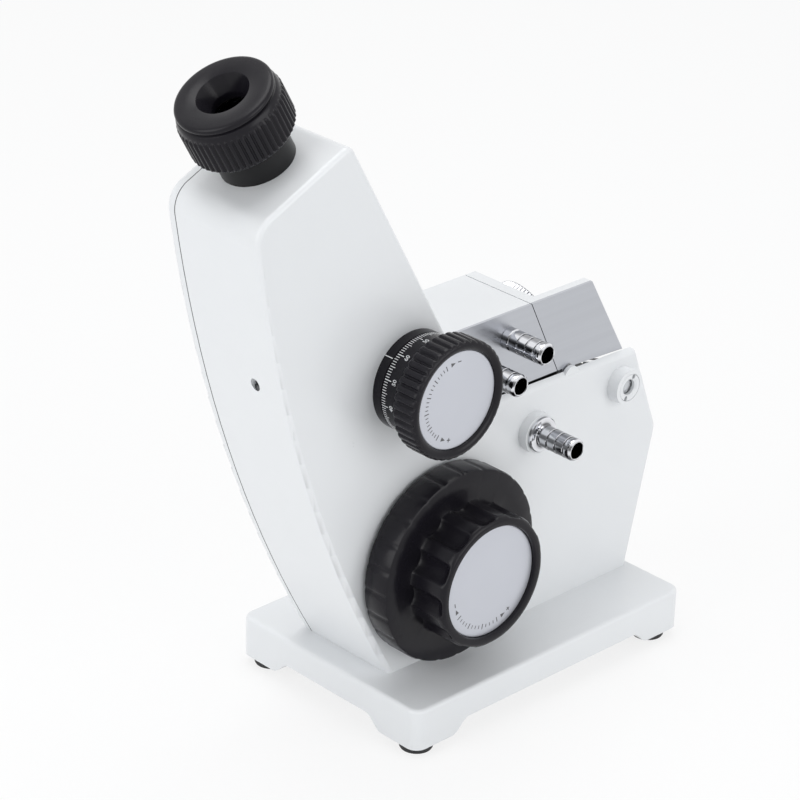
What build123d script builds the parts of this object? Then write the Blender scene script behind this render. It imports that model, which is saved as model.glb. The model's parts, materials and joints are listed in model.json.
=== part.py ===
"""Bench Abbe refractometer, built as separate pieces that seat on each other.

+X points from the eyepiece towards the prisms, +Z is up, and the two hand knobs are on the -Y side.
All sizes are millimetres. While it is built, the model stands with the middle of its base over the
origin. The last step moves it so that the middle of its outer box is over the origin.
"""
from build123d import *
import math
import os

# ----------------------------------------------------------------------------- driving dimensions
# base casting and feet
BASE_LENGTH = 125.5          # along X
BASE_WIDTH = 84.5            # along Y
BASE_HEIGHT = 16.0           # corner pad to top face
BASE_CORNER_RADIUS = 7.0
BASE_EDGE_RADIUS = 1.2
BASE_SIDE_WALL = 4.0
BASE_TOP_THICKNESS = 6.0
PAD_LENGTH = 16.0            # deep part of each side, from the corner
ARCH_RUN = 7.0               # length of the slope between pad and arch
ARCH_RISE = 5.5
FOOT_DROP = 2.6              # rubber that shows below the base
FOOT_RADIUS = 5.8
FOOT_INSET = 6.8             # from the base's sides to the foot's centre

# body casting: outline points are given as X, and height above the base
BODY_BACK_X = -53.6
BODY_FRONT_X = 62.3
NOSE_X = 73.7
NOSE_RISE = 51.7
WALL_TOP_RISE = 87.1
WALL_TOP_FRONT_X = 60.4
WALL_TOP_DROP = 1.4          # the wall top falls by this much towards the front
WALL_EASE = 3.8              # height over which the near wall's top edge is eased off
SHOULDER_X = -114.3
SHOULDER_RISE = 176.0
SPINE_RADIUS = 491.0
SLANT_ANGLE = 25.3           # slope of the face that the eyepiece leaves
SLANT_LENGTH = 42.8
TELESCOPE_LEAN = 29.7        # from the vertical, also the lean of the body's front edge
SHOULDER_RADIUS = 9.0
APEX_RADIUS = 3.5
NOSE_RADIUS = 7.0
WALL_TOP_RADIUS = 3.5
NEAR_FACE_Y = -19.3
PARTING_Y = 19.0
COVER_THICKNESS = 4.5
COVER_POCKET = 2.5
COVER_EDGE_RADIUS = 2.4
BODY_EDGE_RADIUS = 1.7
WALL = 3.0
NICHE_WALL = 1.9             # near wall beside the prisms
TROUGH_DEPTH = 4.7           # deck below the top of the near wall
NICHE_BACK_X = 28.0
NICHE_FLOOR_RISE = 27.4

# dispersion knob and its fixed index ring
DISPERSION_X = -47.5
DISPERSION_RISE = 107.2
INDEX_RING_RADIUS = 17.0
INDEX_RING_DEPTH = 3.6
SCALE_RING_DEPTH = 6.6
GRIP_RADIUS = 20.3
GRIP_DEPTH = 11.0
GRIP_FLUTES = 36
GRIP_FLUTE_DEPTH = 0.8
DISPERSION_DISC_RADIUS = 16.6
DISC_THICKNESS = 1.0
DISPERSION_SHAFT_RADIUS = 2.5

# adjustment handwheel
ADJUST_X = -33.4
ADJUST_RISE = 38.7
HANDWHEEL_RADIUS = 33.6
HANDWHEEL_DEPTH = 10.7
HANDWHEEL_GAP = 1.0
HANDWHEEL_NOTCHES = 24
HANDGRIP_RADIUS = 23.0
HANDGRIP_DEPTH = 15.0
HANDGRIP_FLUTES = 12
ADJUST_DISC_RADIUS = 19.4
ADJUST_DISC_RECESS = 1.5
ADJUST_SHAFT_RADIUS = 3.0

# telescope, along its own leaning axis; heights are from the dispersion knob's axis
TELESCOPE_Y = 4.6
HOUSING_RADIUS = 15.0
HOUSING_HALF_LENGTH = 24.0
CELL_RADIUS = 12.0
CELL_END = 21.0
TUBE_RADIUS = 13.0
TUBE_WALL = 2.0
TUBE_TOP = 82.0
SLEEVE_RADIUS = 12.2
SLEEVE_BORE = 10.3
SLEEVE_TOP = 108.0
CAP_BOTTOM = 102.0
CAP_TOP = 119.6
CAP_RADIUS = 16.8
CAP_RIM_RADIUS = 15.6
CAP_RIM_DEPTH = 3.4
CAP_TEETH = 60
EYE_RECESS_RADIUS = 9.2
EYE_HOLE_RADIUS = 5.8
EYE_RECESS_DEPTH = 5.5
AMICI_PRISM_SIDE = 9.0
BEVEL_TEETH = 20
BEVEL_RADIUS = 9.5
BEVEL_BACKLASH = 0.26        # taken off each flank
BEVEL_INNER_SHARE = 0.72     # inner end of the teeth, as a share of their distance from the apex

# prism head: a split plane that leans back parts the fixed seat from the one that opens
SPLIT_FOOT_X = 23.4
SPLIT_LEAN = 26.4
PRISM_BOTTOM_RISE = 87.4
PRISM_HEIGHT = 28.6
PRISM_NEAR_Y = -17.0
PRISM_FAR_Y = 14.5
SEAT_GAP = 0.3               # between the two prism seats when they are shut
FACE_PLATE = 1.0             # brushed plate on each near face
LID_PLATE = 4.6              # thickness of the opening seat behind the split plane
LID_CHEEK = 3.0
LID_FRONT_TOP_X = 38.5
LID_FRONT_BOTTOM_X = 55.8
LID_BOX_FRONT_X = 44.5
LID_BOX_HEIGHT = 7.8
LID_BOX_HALF_WIDTH = 12.0
LID_DROP = 1.5               # the opening seat's lower edge falls by this much towards the front
LUG_Y = 10.4                 # inner faces of the two hinge lugs
LUG_THICKNESS = 2.4
KNUCKLE_RADIUS = 3.4         # cover of the hinge pin's end on the near wall
HINGE_X = 29.0
HINGE_RISE = 86.9
HINGE_PIN_RADIUS = 1.5
HINGE_EAR_RADIUS = 3.1
PRISM_FACE_START = 1.5       # along the split plane, from its foot
PRISM_FACE_LENGTH = 12.0
PRISM_HALF_WIDTH = 9.0
LIGHT_PRISM_DEPTH = 8.0      # out of the split plane, at its lower face
LOCK_HEIGHT = 17.2           # along the split plane
LOCK_WHEEL_RADIUS = 10.0
LOCK_WHEEL_DEPTH = 4.0
LOCK_STUD_RADIUS = 2.0
LOCK_TEETH = 40

# hose nozzles
NOZZLE_RADIUS = 3.9
NOZZLE_NECK_RADIUS = 3.3
NOZZLE_BORE = 2.7
NOZZLE_LENGTH = 17.8
BODY_NOZZLE_LENGTH = 16.8
NOZZLE_UPPER = (-0.9, 106.8)         # X, and height above the base
NOZZLE_LOWER = (-12.8, 99.2)
BODY_NOZZLE = (10.7, 70.0)
BODY_NOZZLE_BOSS_RADIUS = 7.2
BODY_NOZZLE_BOSS_HEIGHT = 3.5
NOZZLE_FLANGE_RADIUS = 6.2
NOZZLE_FLANGE_DEPTH = 1.4

# scale illumination
CONDENSER = (53.0, 74.4)             # X, and height above the base
CONDENSER_BOSS_RADIUS = 6.4
CONDENSER_BOSS_HEIGHT = 4.7
CONDENSER_LENS_RADIUS = 3.2
CALIBRATION = (-101.6, 117.0)        # X, and height above the base
SCALE_LIGHT_Y = -8.0
REFLECTOR = (51.0, 43.5)
READ_END = (-95.5, 154.0)            # upper end of the scale's light path
READ_TUBE_RADIUS = 4.0
READ_INPUT_Y = -12.2

# gear train between the handwheel, the scale disc and the swinging mirror
GEAR_MODULE = 0.7
PINION_TEETH = 14
SCALE_GEAR_TEETH = 84
MIRROR_GEAR_TEETH = 70
MIRROR_BELOW_KNOB = 36.0             # along the telescope's axis
SCALE_DISC_RADIUS = 16.5
GEAR_WIDTH = 2.0
SCALE_GEAR_Y = 14.2
MIRROR_GEAR_Y = 12.2
MIRROR_GEAR_WIDTH = 1.5
MIRROR_WIDTH = 11.0
BRIDGE_Y = 16.8
BRIDGE_THICKNESS = 2.0
SCALE_DISC_Y = -4.5
PIVOT_RADIUS = 2.0
BUSH_RADIUS = 5.0
KNOB_HUB_RADIUS = 11.0
SCREW_BOSS_RADIUS = 4.2
PRESSURE = math.radians(20)
ADDENDUM = 0.8                       # of the module
DEDENDUM = 1.15
BACKLASH = 0.10

# clearances
RUN = 0.08                   # radial, a shaft that turns in its bush
SLIP = 0.03                  # radial, a piece that is pushed home and stays
AIR = 0.4                    # between faces that pass each other

# ----------------------------------------------------------------------------- places worked out
BASE_TOP = FOOT_DROP + BASE_HEIGHT
WALL_TOP_Z = BASE_TOP + WALL_TOP_RISE
DECK_Z = WALL_TOP_Z - TROUGH_DEPTH
NICHE_FLOOR_Z = BASE_TOP + NICHE_FLOOR_RISE
COVER_Y = PARTING_Y + COVER_THICKNESS
NEAR_INNER_Y = NEAR_FACE_Y + WALL
PRISM_BOTTOM_Z = BASE_TOP + PRISM_BOTTOM_RISE
PRISM_TOP_Z = PRISM_BOTTOM_Z + PRISM_HEIGHT
HINGE_Z = BASE_TOP + HINGE_RISE
LEAN = math.radians(TELESCOPE_LEAN)
KNOB_Z = BASE_TOP + DISPERSION_RISE
ADJUST_Z = BASE_TOP + ADJUST_RISE
TROUGH_Y = NEAR_FACE_Y + NICHE_WALL
JACKET_Y = PRISM_NEAR_Y + FACE_PLATE
MIRROR_X = DISPERSION_X + MIRROR_BELOW_KNOB * math.sin(LEAN)
MIRROR_Z = KNOB_Z - MIRROR_BELOW_KNOB * math.cos(LEAN)
INDEX_FRONT = NEAR_FACE_Y - INDEX_RING_DEPTH
SCALE_RING_BACK = INDEX_FRONT - AIR
GRIP_BACK = SCALE_RING_BACK - SCALE_RING_DEPTH
GRIP_FRONT = GRIP_BACK - GRIP_DEPTH
WHEEL_BACK = NEAR_FACE_Y - HANDWHEEL_GAP
WHEEL_FRONT = WHEEL_BACK - HANDWHEEL_DEPTH
HANDGRIP_FRONT = WHEEL_FRONT - HANDGRIP_DEPTH
FOOT_PLACES = [(sx * (BASE_LENGTH / 2 - FOOT_INSET), sy * (BASE_WIDTH / 2 - FOOT_INSET))
               for sx in (-1, 1) for sy in (-1, 1)]
BASE_SCREWS = [(x, y) for x in (-40.0, 46.0) for y in (-9.5, 9.5)]
COVER_SCREWS = [(-104.0, BASE_TOP + 164.5), (-90.0, BASE_TOP + 103.0), (-49.0, BASE_TOP + 9.0),
                (54.0, BASE_TOP + 9.0), (16.0, BASE_TOP + 59.5), (-8.0, BASE_TOP + 69.4)]

# frames: z of the first runs up the telescope, z of the second runs out of the split plane
telescope = Plane(origin=(DISPERSION_X, TELESCOPE_Y, KNOB_Z), x_dir=(0, 1, 0),
                  z_dir=(-math.sin(LEAN), 0, math.cos(LEAN)))
TILT = math.radians(SPLIT_LEAN)
split_plane = Plane(origin=(SPLIT_FOOT_X, 0, PRISM_BOTTOM_Z), x_dir=(-math.sin(TILT), 0, math.cos(TILT)),
                    z_dir=(math.cos(TILT), 0, math.sin(TILT)))
SPLIT_TOP_X = SPLIT_FOOT_X - PRISM_HEIGHT * math.tan(TILT)
SEAT_SHIFT = SEAT_GAP / math.cos(TILT)

# boxes, cylinders and cones that stand on their frame's origin
UP = (Align.CENTER, Align.CENTER, Align.MIN)

nodes = {}


def keep(name, shape):
    """Store one finished piece under the name of its node."""
    nodes[name] = shape


# ----------------------------------------------------------------------------- small helpers
def slab(sketch, y_low, y_high):
    """Extrude a sketch drawn in X and Z between two Y planes."""
    return extrude(Plane.XZ.offset(-y_high) * sketch, amount=y_high - y_low)


def rod(x, z, radius, y_low, y_high):
    """Round bar along Y."""
    return slab(Pos(x, z) * Circle(radius), y_low, y_high)


def tube(x, z, outer, inner, y_low, y_high):
    """Round sleeve along Y."""
    return slab(Pos(x, z) * (Circle(outer) - Circle(inner)), y_low, y_high)


def block(x_low, x_high, y_low, y_high, z_low, z_high):
    """Box given by its six faces."""
    size = (x_high - x_low, y_high - y_low, z_high - z_low)
    return Pos(x_low, y_low, z_low) * Box(*size, align=(Align.MIN, Align.MIN, Align.MIN))


def ring(frame, outer, inner, low, high):
    """Sleeve about the z axis of a frame."""
    sketch = Circle(outer) - Circle(inner) if inner else Circle(outer)
    return frame.location * (Pos(0, 0, low) * extrude(sketch, amount=high - low))


def outline(points):
    """Closed face through points."""
    return make_face(Polyline(*points, close=True))


def round_corner(sketch, point, radius):
    """Fillet the corner of a sketch that lies nearest to a point."""
    corner = min(sketch.vertices(), key=lambda v: math.dist((v.X, v.Y), point))
    return fillet(corner, radius)


def toothed(count, low, high, land, gap):
    """Disc outline with straight-sided teeth; land and gap are shares of one pitch."""
    points = []
    pitch = 2 * math.pi / count
    for tooth in range(count):
        corners = ((-land / 2, high), (land / 2, high), (0.5 - gap / 2, low), (0.5 + gap / 2, low))
        for share, radius in corners:
            angle = (tooth + share) * pitch
            points.append((radius * math.cos(angle), radius * math.sin(angle)))
    return outline(points)


# ----------------------------------------------------------------------------- base
def base_sketch(inset):
    """Rounded rectangle of the base, drawn in by a margin."""
    return RectangleRounded(BASE_LENGTH - 2 * inset, BASE_WIDTH - 2 * inset,
                            max(BASE_CORNER_RADIUS - inset, 1.0))


def arch_cut(length, across):
    """Wedge that lifts the middle of two opposite sides between the corner pads."""
    half = length / 2 - PAD_LENGTH
    profile = outline([(-half - 5, -4), (-half - 5, 0), (-half, 0), (-half + ARCH_RUN, ARCH_RISE),
                       (half - ARCH_RUN, ARCH_RISE), (half, 0), (half + 5, 0), (half + 5, -4)])
    for x, z in ((-half, 0), (-half + ARCH_RUN, ARCH_RISE), (half - ARCH_RUN, ARCH_RISE), (half, 0)):
        profile = round_corner(profile, (x, z), ARCH_RISE / 2)
    return extrude(Plane.XZ * profile, amount=across, both=True)


def make_base():
    """Cast base: hollow underneath, arched sides, a solid pad at each corner."""
    base = extrude(base_sketch(0), amount=BASE_HEIGHT)
    top_edges = base.faces().sort_by(Axis.Z)[-1].edges()
    base = fillet(top_edges, BASE_EDGE_RADIUS)
    hollow = extrude(base_sketch(BASE_SIDE_WALL), amount=BASE_HEIGHT - BASE_TOP_THICKNESS)
    for sx in (-1, 1):
        for sy in (-1, 1):
            hollow -= Pos(sx * BASE_LENGTH / 2, sy * BASE_WIDTH / 2) * Box(
                2 * PAD_LENGTH, 2 * PAD_LENGTH, 3 * BASE_HEIGHT)
    base -= hollow
    base -= arch_cut(BASE_LENGTH, BASE_WIDTH)
    base -= Rot(0, 0, 90) * arch_cut(BASE_WIDTH, BASE_LENGTH)
    base = Pos(0, 0, FOOT_DROP) * base
    for x, y in FOOT_PLACES:
        base -= Pos(x, y, FOOT_DROP) * Cylinder(1.55, 11, align=UP)
    for x, y in BASE_SCREWS:
        base -= Pos(x, y, BASE_TOP) * Cylinder(2.2, 40)
        base -= Pos(x, y, BASE_TOP - BASE_TOP_THICKNESS) * Cylinder(4.0, 3.0)
    return base


def make_feet():
    """Rubber feet with a sunk screw hole, and the screws that hold them."""
    foot = Cylinder(FOOT_RADIUS, FOOT_DROP, align=UP)
    foot = chamfer(foot.edges().sort_by(Axis.Z)[0], 0.6)
    foot -= Cylinder(3.0, 1.4, align=UP)
    foot -= Cylinder(1.6, FOOT_DROP, align=UP)
    screw = Pos(0, 0, 0.5) * Cylinder(2.8, 0.9, align=UP) + Pos(0, 0, 0.5) * Cylinder(1.5, 11, align=UP)
    feet = Part() + [Pos(x, y) * foot for x, y in FOOT_PLACES]
    screws = Part() + [Pos(x, y) * screw for x, y in FOOT_PLACES]
    return feet, screws


def make_base_screws():
    """Screws that pull the body down on the base, driven from underneath."""
    head_z = BASE_TOP - BASE_TOP_THICKNESS - 1.5
    screw = Cylinder(3.6, 2.9, align=UP) + Cylinder(2.0, 3.0 + BASE_TOP_THICKNESS + 3.0, align=UP)
    return Part() + [Pos(x, y, head_z) * screw for x, y in BASE_SCREWS]


# ----------------------------------------------------------------------------- body casting
def front_line_x(z):
    """X of the body's leaning front edge at a height."""
    return APEX[0] + (APEX[1] - z) * math.tan(LEAN)


SHOULDER = (SHOULDER_X, BASE_TOP + SHOULDER_RISE)
APEX = (SHOULDER[0] + SLANT_LENGTH * math.cos(math.radians(SLANT_ANGLE)),
        SHOULDER[1] + SLANT_LENGTH * math.sin(math.radians(SLANT_ANGLE)))
THROAT = (front_line_x(WALL_TOP_Z), WALL_TOP_Z)
WALL_FRONT = (WALL_TOP_FRONT_X, WALL_TOP_Z - WALL_TOP_DROP)
NOSE = (NOSE_X, BASE_TOP + NOSE_RISE)


def body_outline():
    """Side view of the body: curved spine, slanted top, straight front edge, five-sided prow."""
    spine = RadiusArc((BODY_BACK_X, BASE_TOP), SHOULDER, SPINE_RADIUS)
    rest = Polyline(SHOULDER, APEX, THROAT, WALL_FRONT, NOSE,
                    (BODY_FRONT_X, BASE_TOP), (BODY_BACK_X, BASE_TOP))
    face = make_face(Wire([spine, *rest.edges()]))
    face = round_corner(face, SHOULDER, SHOULDER_RADIUS)
    face = round_corner(face, APEX, APEX_RADIUS)
    face = round_corner(face, NOSE, NOSE_RADIUS)
    face = round_corner(face, WALL_FRONT, WALL_TOP_RADIUS)
    return face


BODY_FACE = body_outline()
INNER_FACE = offset(BODY_FACE, -WALL)


def light_path():
    """Straight way for light from the measuring prism to the swinging mirror."""
    start = split_plane.from_local_coords((PRISM_FACE_START + PRISM_FACE_LENGTH / 2, 0, -5))
    way = Vector(MIRROR_X, 0, MIRROR_Z) - Vector(start.X, 0, start.Z)
    frame = Plane(origin=(start.X, 0, start.Z), z_dir=(way.X, 0, way.Z))
    return frame.location * Cylinder(4.5, way.length, align=UP)


def gear_centres():
    """Scale arbor, placed by its two centre distances from the handwheel and the mirror's pivot."""
    to_hand = GEAR_MODULE * (PINION_TEETH + SCALE_GEAR_TEETH) / 2
    to_mirror = GEAR_MODULE * (PINION_TEETH + MIRROR_GEAR_TEETH) / 2
    ex, ez = MIRROR_X - ADJUST_X, MIRROR_Z - ADJUST_Z
    gap = math.hypot(ex, ez)
    along = (to_hand ** 2 - to_mirror ** 2 + gap ** 2) / (2 * gap)
    aside = math.sqrt(to_hand ** 2 - along ** 2)
    ex, ez = ex / gap, ez / gap
    return ADJUST_X + along * ex - aside * ez, ADJUST_Z + along * ez + aside * ex


ARBOR_X, ARBOR_Z = gear_centres()


def wall_ease():
    """Waste that rounds the near wall's top edge beside the prisms, along the slope of that top."""
    edge = ThreePointArc((TROUGH_Y, 0), (TROUGH_Y - 1.3, -1.0), (NEAR_FACE_Y, -WALL_EASE))
    back = Polyline((NEAR_FACE_Y, -WALL_EASE), (NEAR_FACE_Y - 1, -WALL_EASE), (NEAR_FACE_Y - 1, 1),
                    (TROUGH_Y, 1), (TROUGH_Y, 0))
    waste = Pos(-6, 0, 0) * extrude(Plane.YZ * make_face(Wire([edge, *back.edges()])), amount=110)
    slope = math.degrees(math.atan2(WALL_TOP_DROP, WALL_FRONT[0] - THROAT[0]))
    waste = Pos(THROAT[0], 0, THROAT[1]) * Rot(0, slope, 0) * waste
    low, high = DECK_Z - 8, WALL_TOP_Z + 8
    beside_prisms = outline([(front_line_x(low), low), (200, low), (200, high), (front_line_x(high), high)])
    return waste & slab(beside_prisms, NEAR_FACE_Y - 2, TROUGH_Y)


def make_body():
    """Die-cast body, open on the far side, with the trough and niche that the prism head needs."""
    body = slab(BODY_FACE, NEAR_FACE_Y, PARTING_Y)
    rim = [e for e in body.faces().sort_by(Axis.Y)[0].edges() if e.center().Z > BASE_TOP + 0.1]
    body = fillet(rim, BODY_EDGE_RADIUS) - wall_ease()
    body += rod(HINGE_X, HINGE_Z - KNUCKLE_RADIUS + 1.0, KNUCKLE_RADIUS, NEAR_FACE_Y + 0.5, TROUGH_Y)
    body += rod(BODY_NOZZLE[0], BASE_TOP + BODY_NOZZLE[1], BODY_NOZZLE_BOSS_RADIUS,
                NEAR_FACE_Y - BODY_NOZZLE_BOSS_HEIGHT, NEAR_FACE_Y)
    condenser_z = BASE_TOP + CONDENSER[1]
    body += rod(CONDENSER[0], condenser_z, CONDENSER_BOSS_RADIUS,
                NEAR_FACE_Y - CONDENSER_BOSS_HEIGHT, NEAR_FACE_Y)

    # main cavity, less the niche's own walls and the deck under the prism head
    cavity = INNER_FACE
    cavity -= outline([(NICHE_BACK_X - WALL, NICHE_FLOOR_Z - WALL), (200, NICHE_FLOOR_Z - WALL),
                       (200, 300), (NICHE_BACK_X - WALL, 300)])
    low, high = DECK_Z - WALL, DECK_Z + 11.6
    cavity -= outline([(-40, low), (200, low), (200, high), (front_line_x(high), high),
                       (front_line_x(low) - WALL / math.cos(LEAN), low)])
    body -= slab(cavity, NEAR_INNER_Y, PARTING_Y + 1)
    body -= slab(outline([(front_line_x(DECK_Z), DECK_Z), (200, DECK_Z), (200, WALL_TOP_Z + 20),
                          (front_line_x(WALL_TOP_Z + 20), WALL_TOP_Z + 20)]), TROUGH_Y, PARTING_Y + 1)
    body -= block(NICHE_BACK_X, 200, TROUGH_Y, PARTING_Y + 1, NICHE_FLOOR_Z, WALL_TOP_Z + 20)

    # screw bosses for the side cover and the base
    inside = slab(INNER_FACE, NEAR_INNER_Y - 1, PARTING_Y)
    for x, z in COVER_SCREWS:
        body += rod(x, z, SCREW_BOSS_RADIUS, NEAR_INNER_Y - 1, PARTING_Y)
    for x, y in BASE_SCREWS:
        body += Pos(x, y, BASE_TOP) * Cylinder(5.0, WALL + 4.0, align=UP)
        body -= Pos(x, y, BASE_TOP) * Cylinder(2.03, 2 * (WALL + 2.5))

    # two cradle ribs that carry the compensator housing
    for low in (-HOUSING_HALF_LENGTH + 4, HOUSING_HALF_LENGTH - 8):
        rib = Pos(0, 0, low) * Box(TELESCOPE_Y - NEAR_INNER_Y + 1, 2 * HOUSING_RADIUS + 3, 4,
                                   align=(Align.MAX, Align.CENTER, Align.MIN))
        body += telescope.location * rib & inside
    body -= ring(telescope, HOUSING_RADIUS + SLIP, 0, -HOUSING_HALF_LENGTH - 4, HOUSING_HALF_LENGTH + 4)

    # two clamps that carry the reading tube, and the pad of its input prism
    for low in (24, 72):
        clamp = reading.location * (Pos(0, 0, low) * Box(9.0, READ_Y - NEAR_INNER_Y + 5, 5.0,
                                                         align=(Align.CENTER, Align.MAX, Align.MIN)))
        body += clamp & inside
    body -= ring(reading, READ_TUBE_RADIUS + SLIP, 0, 4, READ_LENGTH)
    body += block(READ_X - 4, READ_X + 4, NEAR_INNER_Y - 1, READ_INPUT_Y, READ_Z - 4, READ_Z + 4)

    # holes: eyepiece, knob bushes, pivot seats, light, lens, nozzle, calibration screw
    body -= ring(telescope, SLEEVE_RADIUS + SLIP, 0, TUBE_TOP - 6, SLEEVE_TOP)
    body -= ring(telescope, TUBE_RADIUS + 0.6, 0, HOUSING_HALF_LENGTH, TUBE_TOP + 1)
    for x, z in COVER_SCREWS:
        body -= rod(x, z, 1.5, PARTING_Y - 9.5, PARTING_Y + 1)
    body -= rod(DISPERSION_X, KNOB_Z, BUSH_RADIUS, NEAR_FACE_Y - 1, NEAR_INNER_Y + 1)
    body -= rod(ADJUST_X, ADJUST_Z, BUSH_RADIUS, NEAR_FACE_Y - 1, NEAR_INNER_Y + 1)
    for x, z in ((MIRROR_X, MIRROR_Z), (ARBOR_X, ARBOR_Z)):
        body += rod(x, z, 5.0, NEAR_INNER_Y - 1, NEAR_INNER_Y + 3)
        body -= rod(x, z, PIVOT_RADIUS + RUN, NEAR_INNER_Y - 1, NEAR_INNER_Y + 4)
    body -= light_path()
    body -= rod(CONDENSER[0], condenser_z, CONDENSER_LENS_RADIUS, NEAR_FACE_Y - 20, NEAR_FACE_Y + 5)
    body -= rod(CONDENSER[0], condenser_z, CONDENSER_BOSS_RADIUS - 1.4,
                NEAR_FACE_Y - CONDENSER_BOSS_HEIGHT - 1, NEAR_FACE_Y - 0.5)
    body -= rod(BODY_NOZZLE[0], BASE_TOP + BODY_NOZZLE[1], NOZZLE_NECK_RADIUS,
                NEAR_FACE_Y - 20, NEAR_INNER_Y + 1)
    body -= block(NICHE_BACK_X - WALL - 1, NICHE_BACK_X + 1, SCALE_LIGHT_Y - 4, SCALE_LIGHT_Y + 4,
                  condenser_z - 4, condenser_z + 4)
    body -= calibration.location * Cylinder(2.0, 30)
    return body


# reading path: from the disc's left lower edge straight up beside the telescope
READ_X, READ_Y, READ_Z = ARBOR_X - 11.4, 1.4, ARBOR_Z - 8.3
READ_TOP = (READ_END[0], TELESCOPE_Y - 1, BASE_TOP + READ_END[1])
READ_WAY = Vector(*READ_TOP) - Vector(READ_X, READ_Y, READ_Z)
READ_LENGTH = READ_WAY.length
reading = Plane(origin=(READ_X, READ_Y, READ_Z), x_dir=(1, 0, -READ_WAY.X / READ_WAY.Z), z_dir=READ_WAY)
calibration = Plane(origin=(CALIBRATION[0], -6.0, BASE_TOP + CALIBRATION[1]), z_dir=(-0.96, 0, 0.28))


def make_cover():
    """Flat side cover with a rounded rim, sunk screw seats and a shallow pocket inside."""
    cover = slab(BODY_FACE, PARTING_Y, COVER_Y)
    rim = [e for e in cover.faces().sort_by(Axis.Y)[-1].edges() if e.center().Z > BASE_TOP + 0.1]
    cover = fillet(rim, COVER_EDGE_RADIUS)
    pocket = offset(BODY_FACE, -WALL - 1.5)
    niche_x = NICHE_BACK_X - 2 * WALL
    pocket -= outline([(niche_x, 0), (200, 0), (200, 300), (niche_x, 300)])
    low, high = DECK_Z - 3, DECK_Z + 11.6
    beside_prisms = outline([(front_line_x(low) - 6, low), (200, low), (200, high),
                             (front_line_x(high) - 6, high)])
    pocket -= beside_prisms
    for x, z in COVER_SCREWS:
        pocket -= Pos(x, z) * Circle(SCREW_BOSS_RADIUS + 1)
    cover -= slab(pocket, PARTING_Y - 1, PARTING_Y + COVER_POCKET)
    for x, z in COVER_SCREWS:
        cover -= rod(x, z, 1.7, PARTING_Y - 1, COVER_Y + 1)
        cover -= rod(x, z, 3.2, COVER_Y - 2.2, COVER_Y + 1)
    return cover


def make_cover_screws():
    """Cheese-head screws of the side cover, slotted."""
    screws = Part()
    for x, z in COVER_SCREWS:
        screw = rod(x, z, 2.9, COVER_Y - 2.2, COVER_Y - 0.3)
        screw += rod(x, z, 1.45, PARTING_Y - 9, COVER_Y - 2.2)
        screw -= block(x - 4, x + 4, COVER_Y - 1.1, COVER_Y, z - 0.4, z + 0.4)
        screws += screw
    return screws


# ----------------------------------------------------------------------------- spur and bevel gears
def involute(angle):
    """Involute function of an angle."""
    return math.tan(angle) - angle


def spur_outline(teeth, bore, first, last, hub, phase=0.0):
    """Involute teeth from number first to number last, on a sector that closes on a round hub."""
    radius = GEAR_MODULE * teeth / 2
    root, tip = radius - DEDENDUM * GEAR_MODULE, radius + ADDENDUM * GEAR_MODULE
    base = radius * math.cos(PRESSURE)
    half = math.pi / (2 * teeth) - BACKLASH / (2 * radius) + involute(PRESSURE)
    levels = [root] + [max(base, root) + share * (tip - max(base, root)) for share in (0.08, 0.55, 1.0)]
    flank = [(r, half - involute(math.acos(min(1.0, base / r)))) for r in levels]
    points = []
    pitch = 2 * math.pi / teeth
    for tooth in range(first, last + 1):
        centre = phase + tooth * pitch
        points += [(r * math.cos(centre - a), r * math.sin(centre - a)) for r, a in flank]
        points += [(r * math.cos(centre + a), r * math.sin(centre + a)) for r, a in reversed(flank)]
    if last - first + 1 < teeth:
        low, high = phase + (first - 0.5) * pitch, phase + (last + 0.5) * pitch
        rim = root - 3.0
        points += [(root * math.cos(high), root * math.sin(high))]
        points += [(rim * math.cos(high), rim * math.sin(high))]
        middle, spread = (low + high) / 2, math.radians(4 if rim < 22 else 7)
        points += [(rim * math.cos(middle + spread), rim * math.sin(middle + spread))]
        points += [(hub * math.cos(middle + math.pi / 2), hub * math.sin(middle + math.pi / 2))]
        points += [(hub * math.cos(middle - math.pi / 2), hub * math.sin(middle - math.pi / 2))]
        points += [(rim * math.cos(middle - spread), rim * math.sin(middle - spread))]
        points += [(rim * math.cos(low), rim * math.sin(low))]
        points += [(root * math.cos(low), root * math.sin(low))]
    face = outline(points)
    if last - first + 1 < teeth:
        face += Circle(hub)
    return face - Circle(bore)


def facing(x_from, z_from, x_to, z_to):
    """Angle in the X and Z sketch of the line from one point to another."""
    return math.atan2(z_to - z_from, x_to - x_from)


def bevel_gear(bore, tooth_at_zero):
    """Mitre gear whose teeth run to the apex at the origin, with its back towards +z."""
    tip, root = BEVEL_RADIUS + 0.62, BEVEL_RADIUS - 0.95
    pitch = 2 * math.pi / BEVEL_TEETH
    phase = 0 if tooth_at_zero else pitch / 2
    slope = math.tan(PRESSURE) / (BEVEL_RADIUS * math.cos(math.pi / 4))
    half = pitch / 4 - BEVEL_BACKLASH / BEVEL_RADIUS
    points = []
    for tooth in range(BEVEL_TEETH):
        centre = phase + tooth * pitch
        at_root, at_tip = half + 0.95 * slope, half - 0.62 * slope
        for r, a in ((root, -at_root), (tip, -at_tip), (tip, at_tip), (root, at_root)):
            points.append((r * math.cos(centre + a), r * math.sin(centre + a)))
    large = Pos(0, 0, BEVEL_RADIUS) * outline(points)
    small = [(BEVEL_INNER_SHARE * x, BEVEL_INNER_SHARE * y) for x, y in points]
    small = Pos(0, 0, BEVEL_RADIUS * BEVEL_INNER_SHARE) * outline(small)
    return loft([small, large], ruled=True) - Cylinder(bore, 4 * BEVEL_RADIUS)


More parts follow.
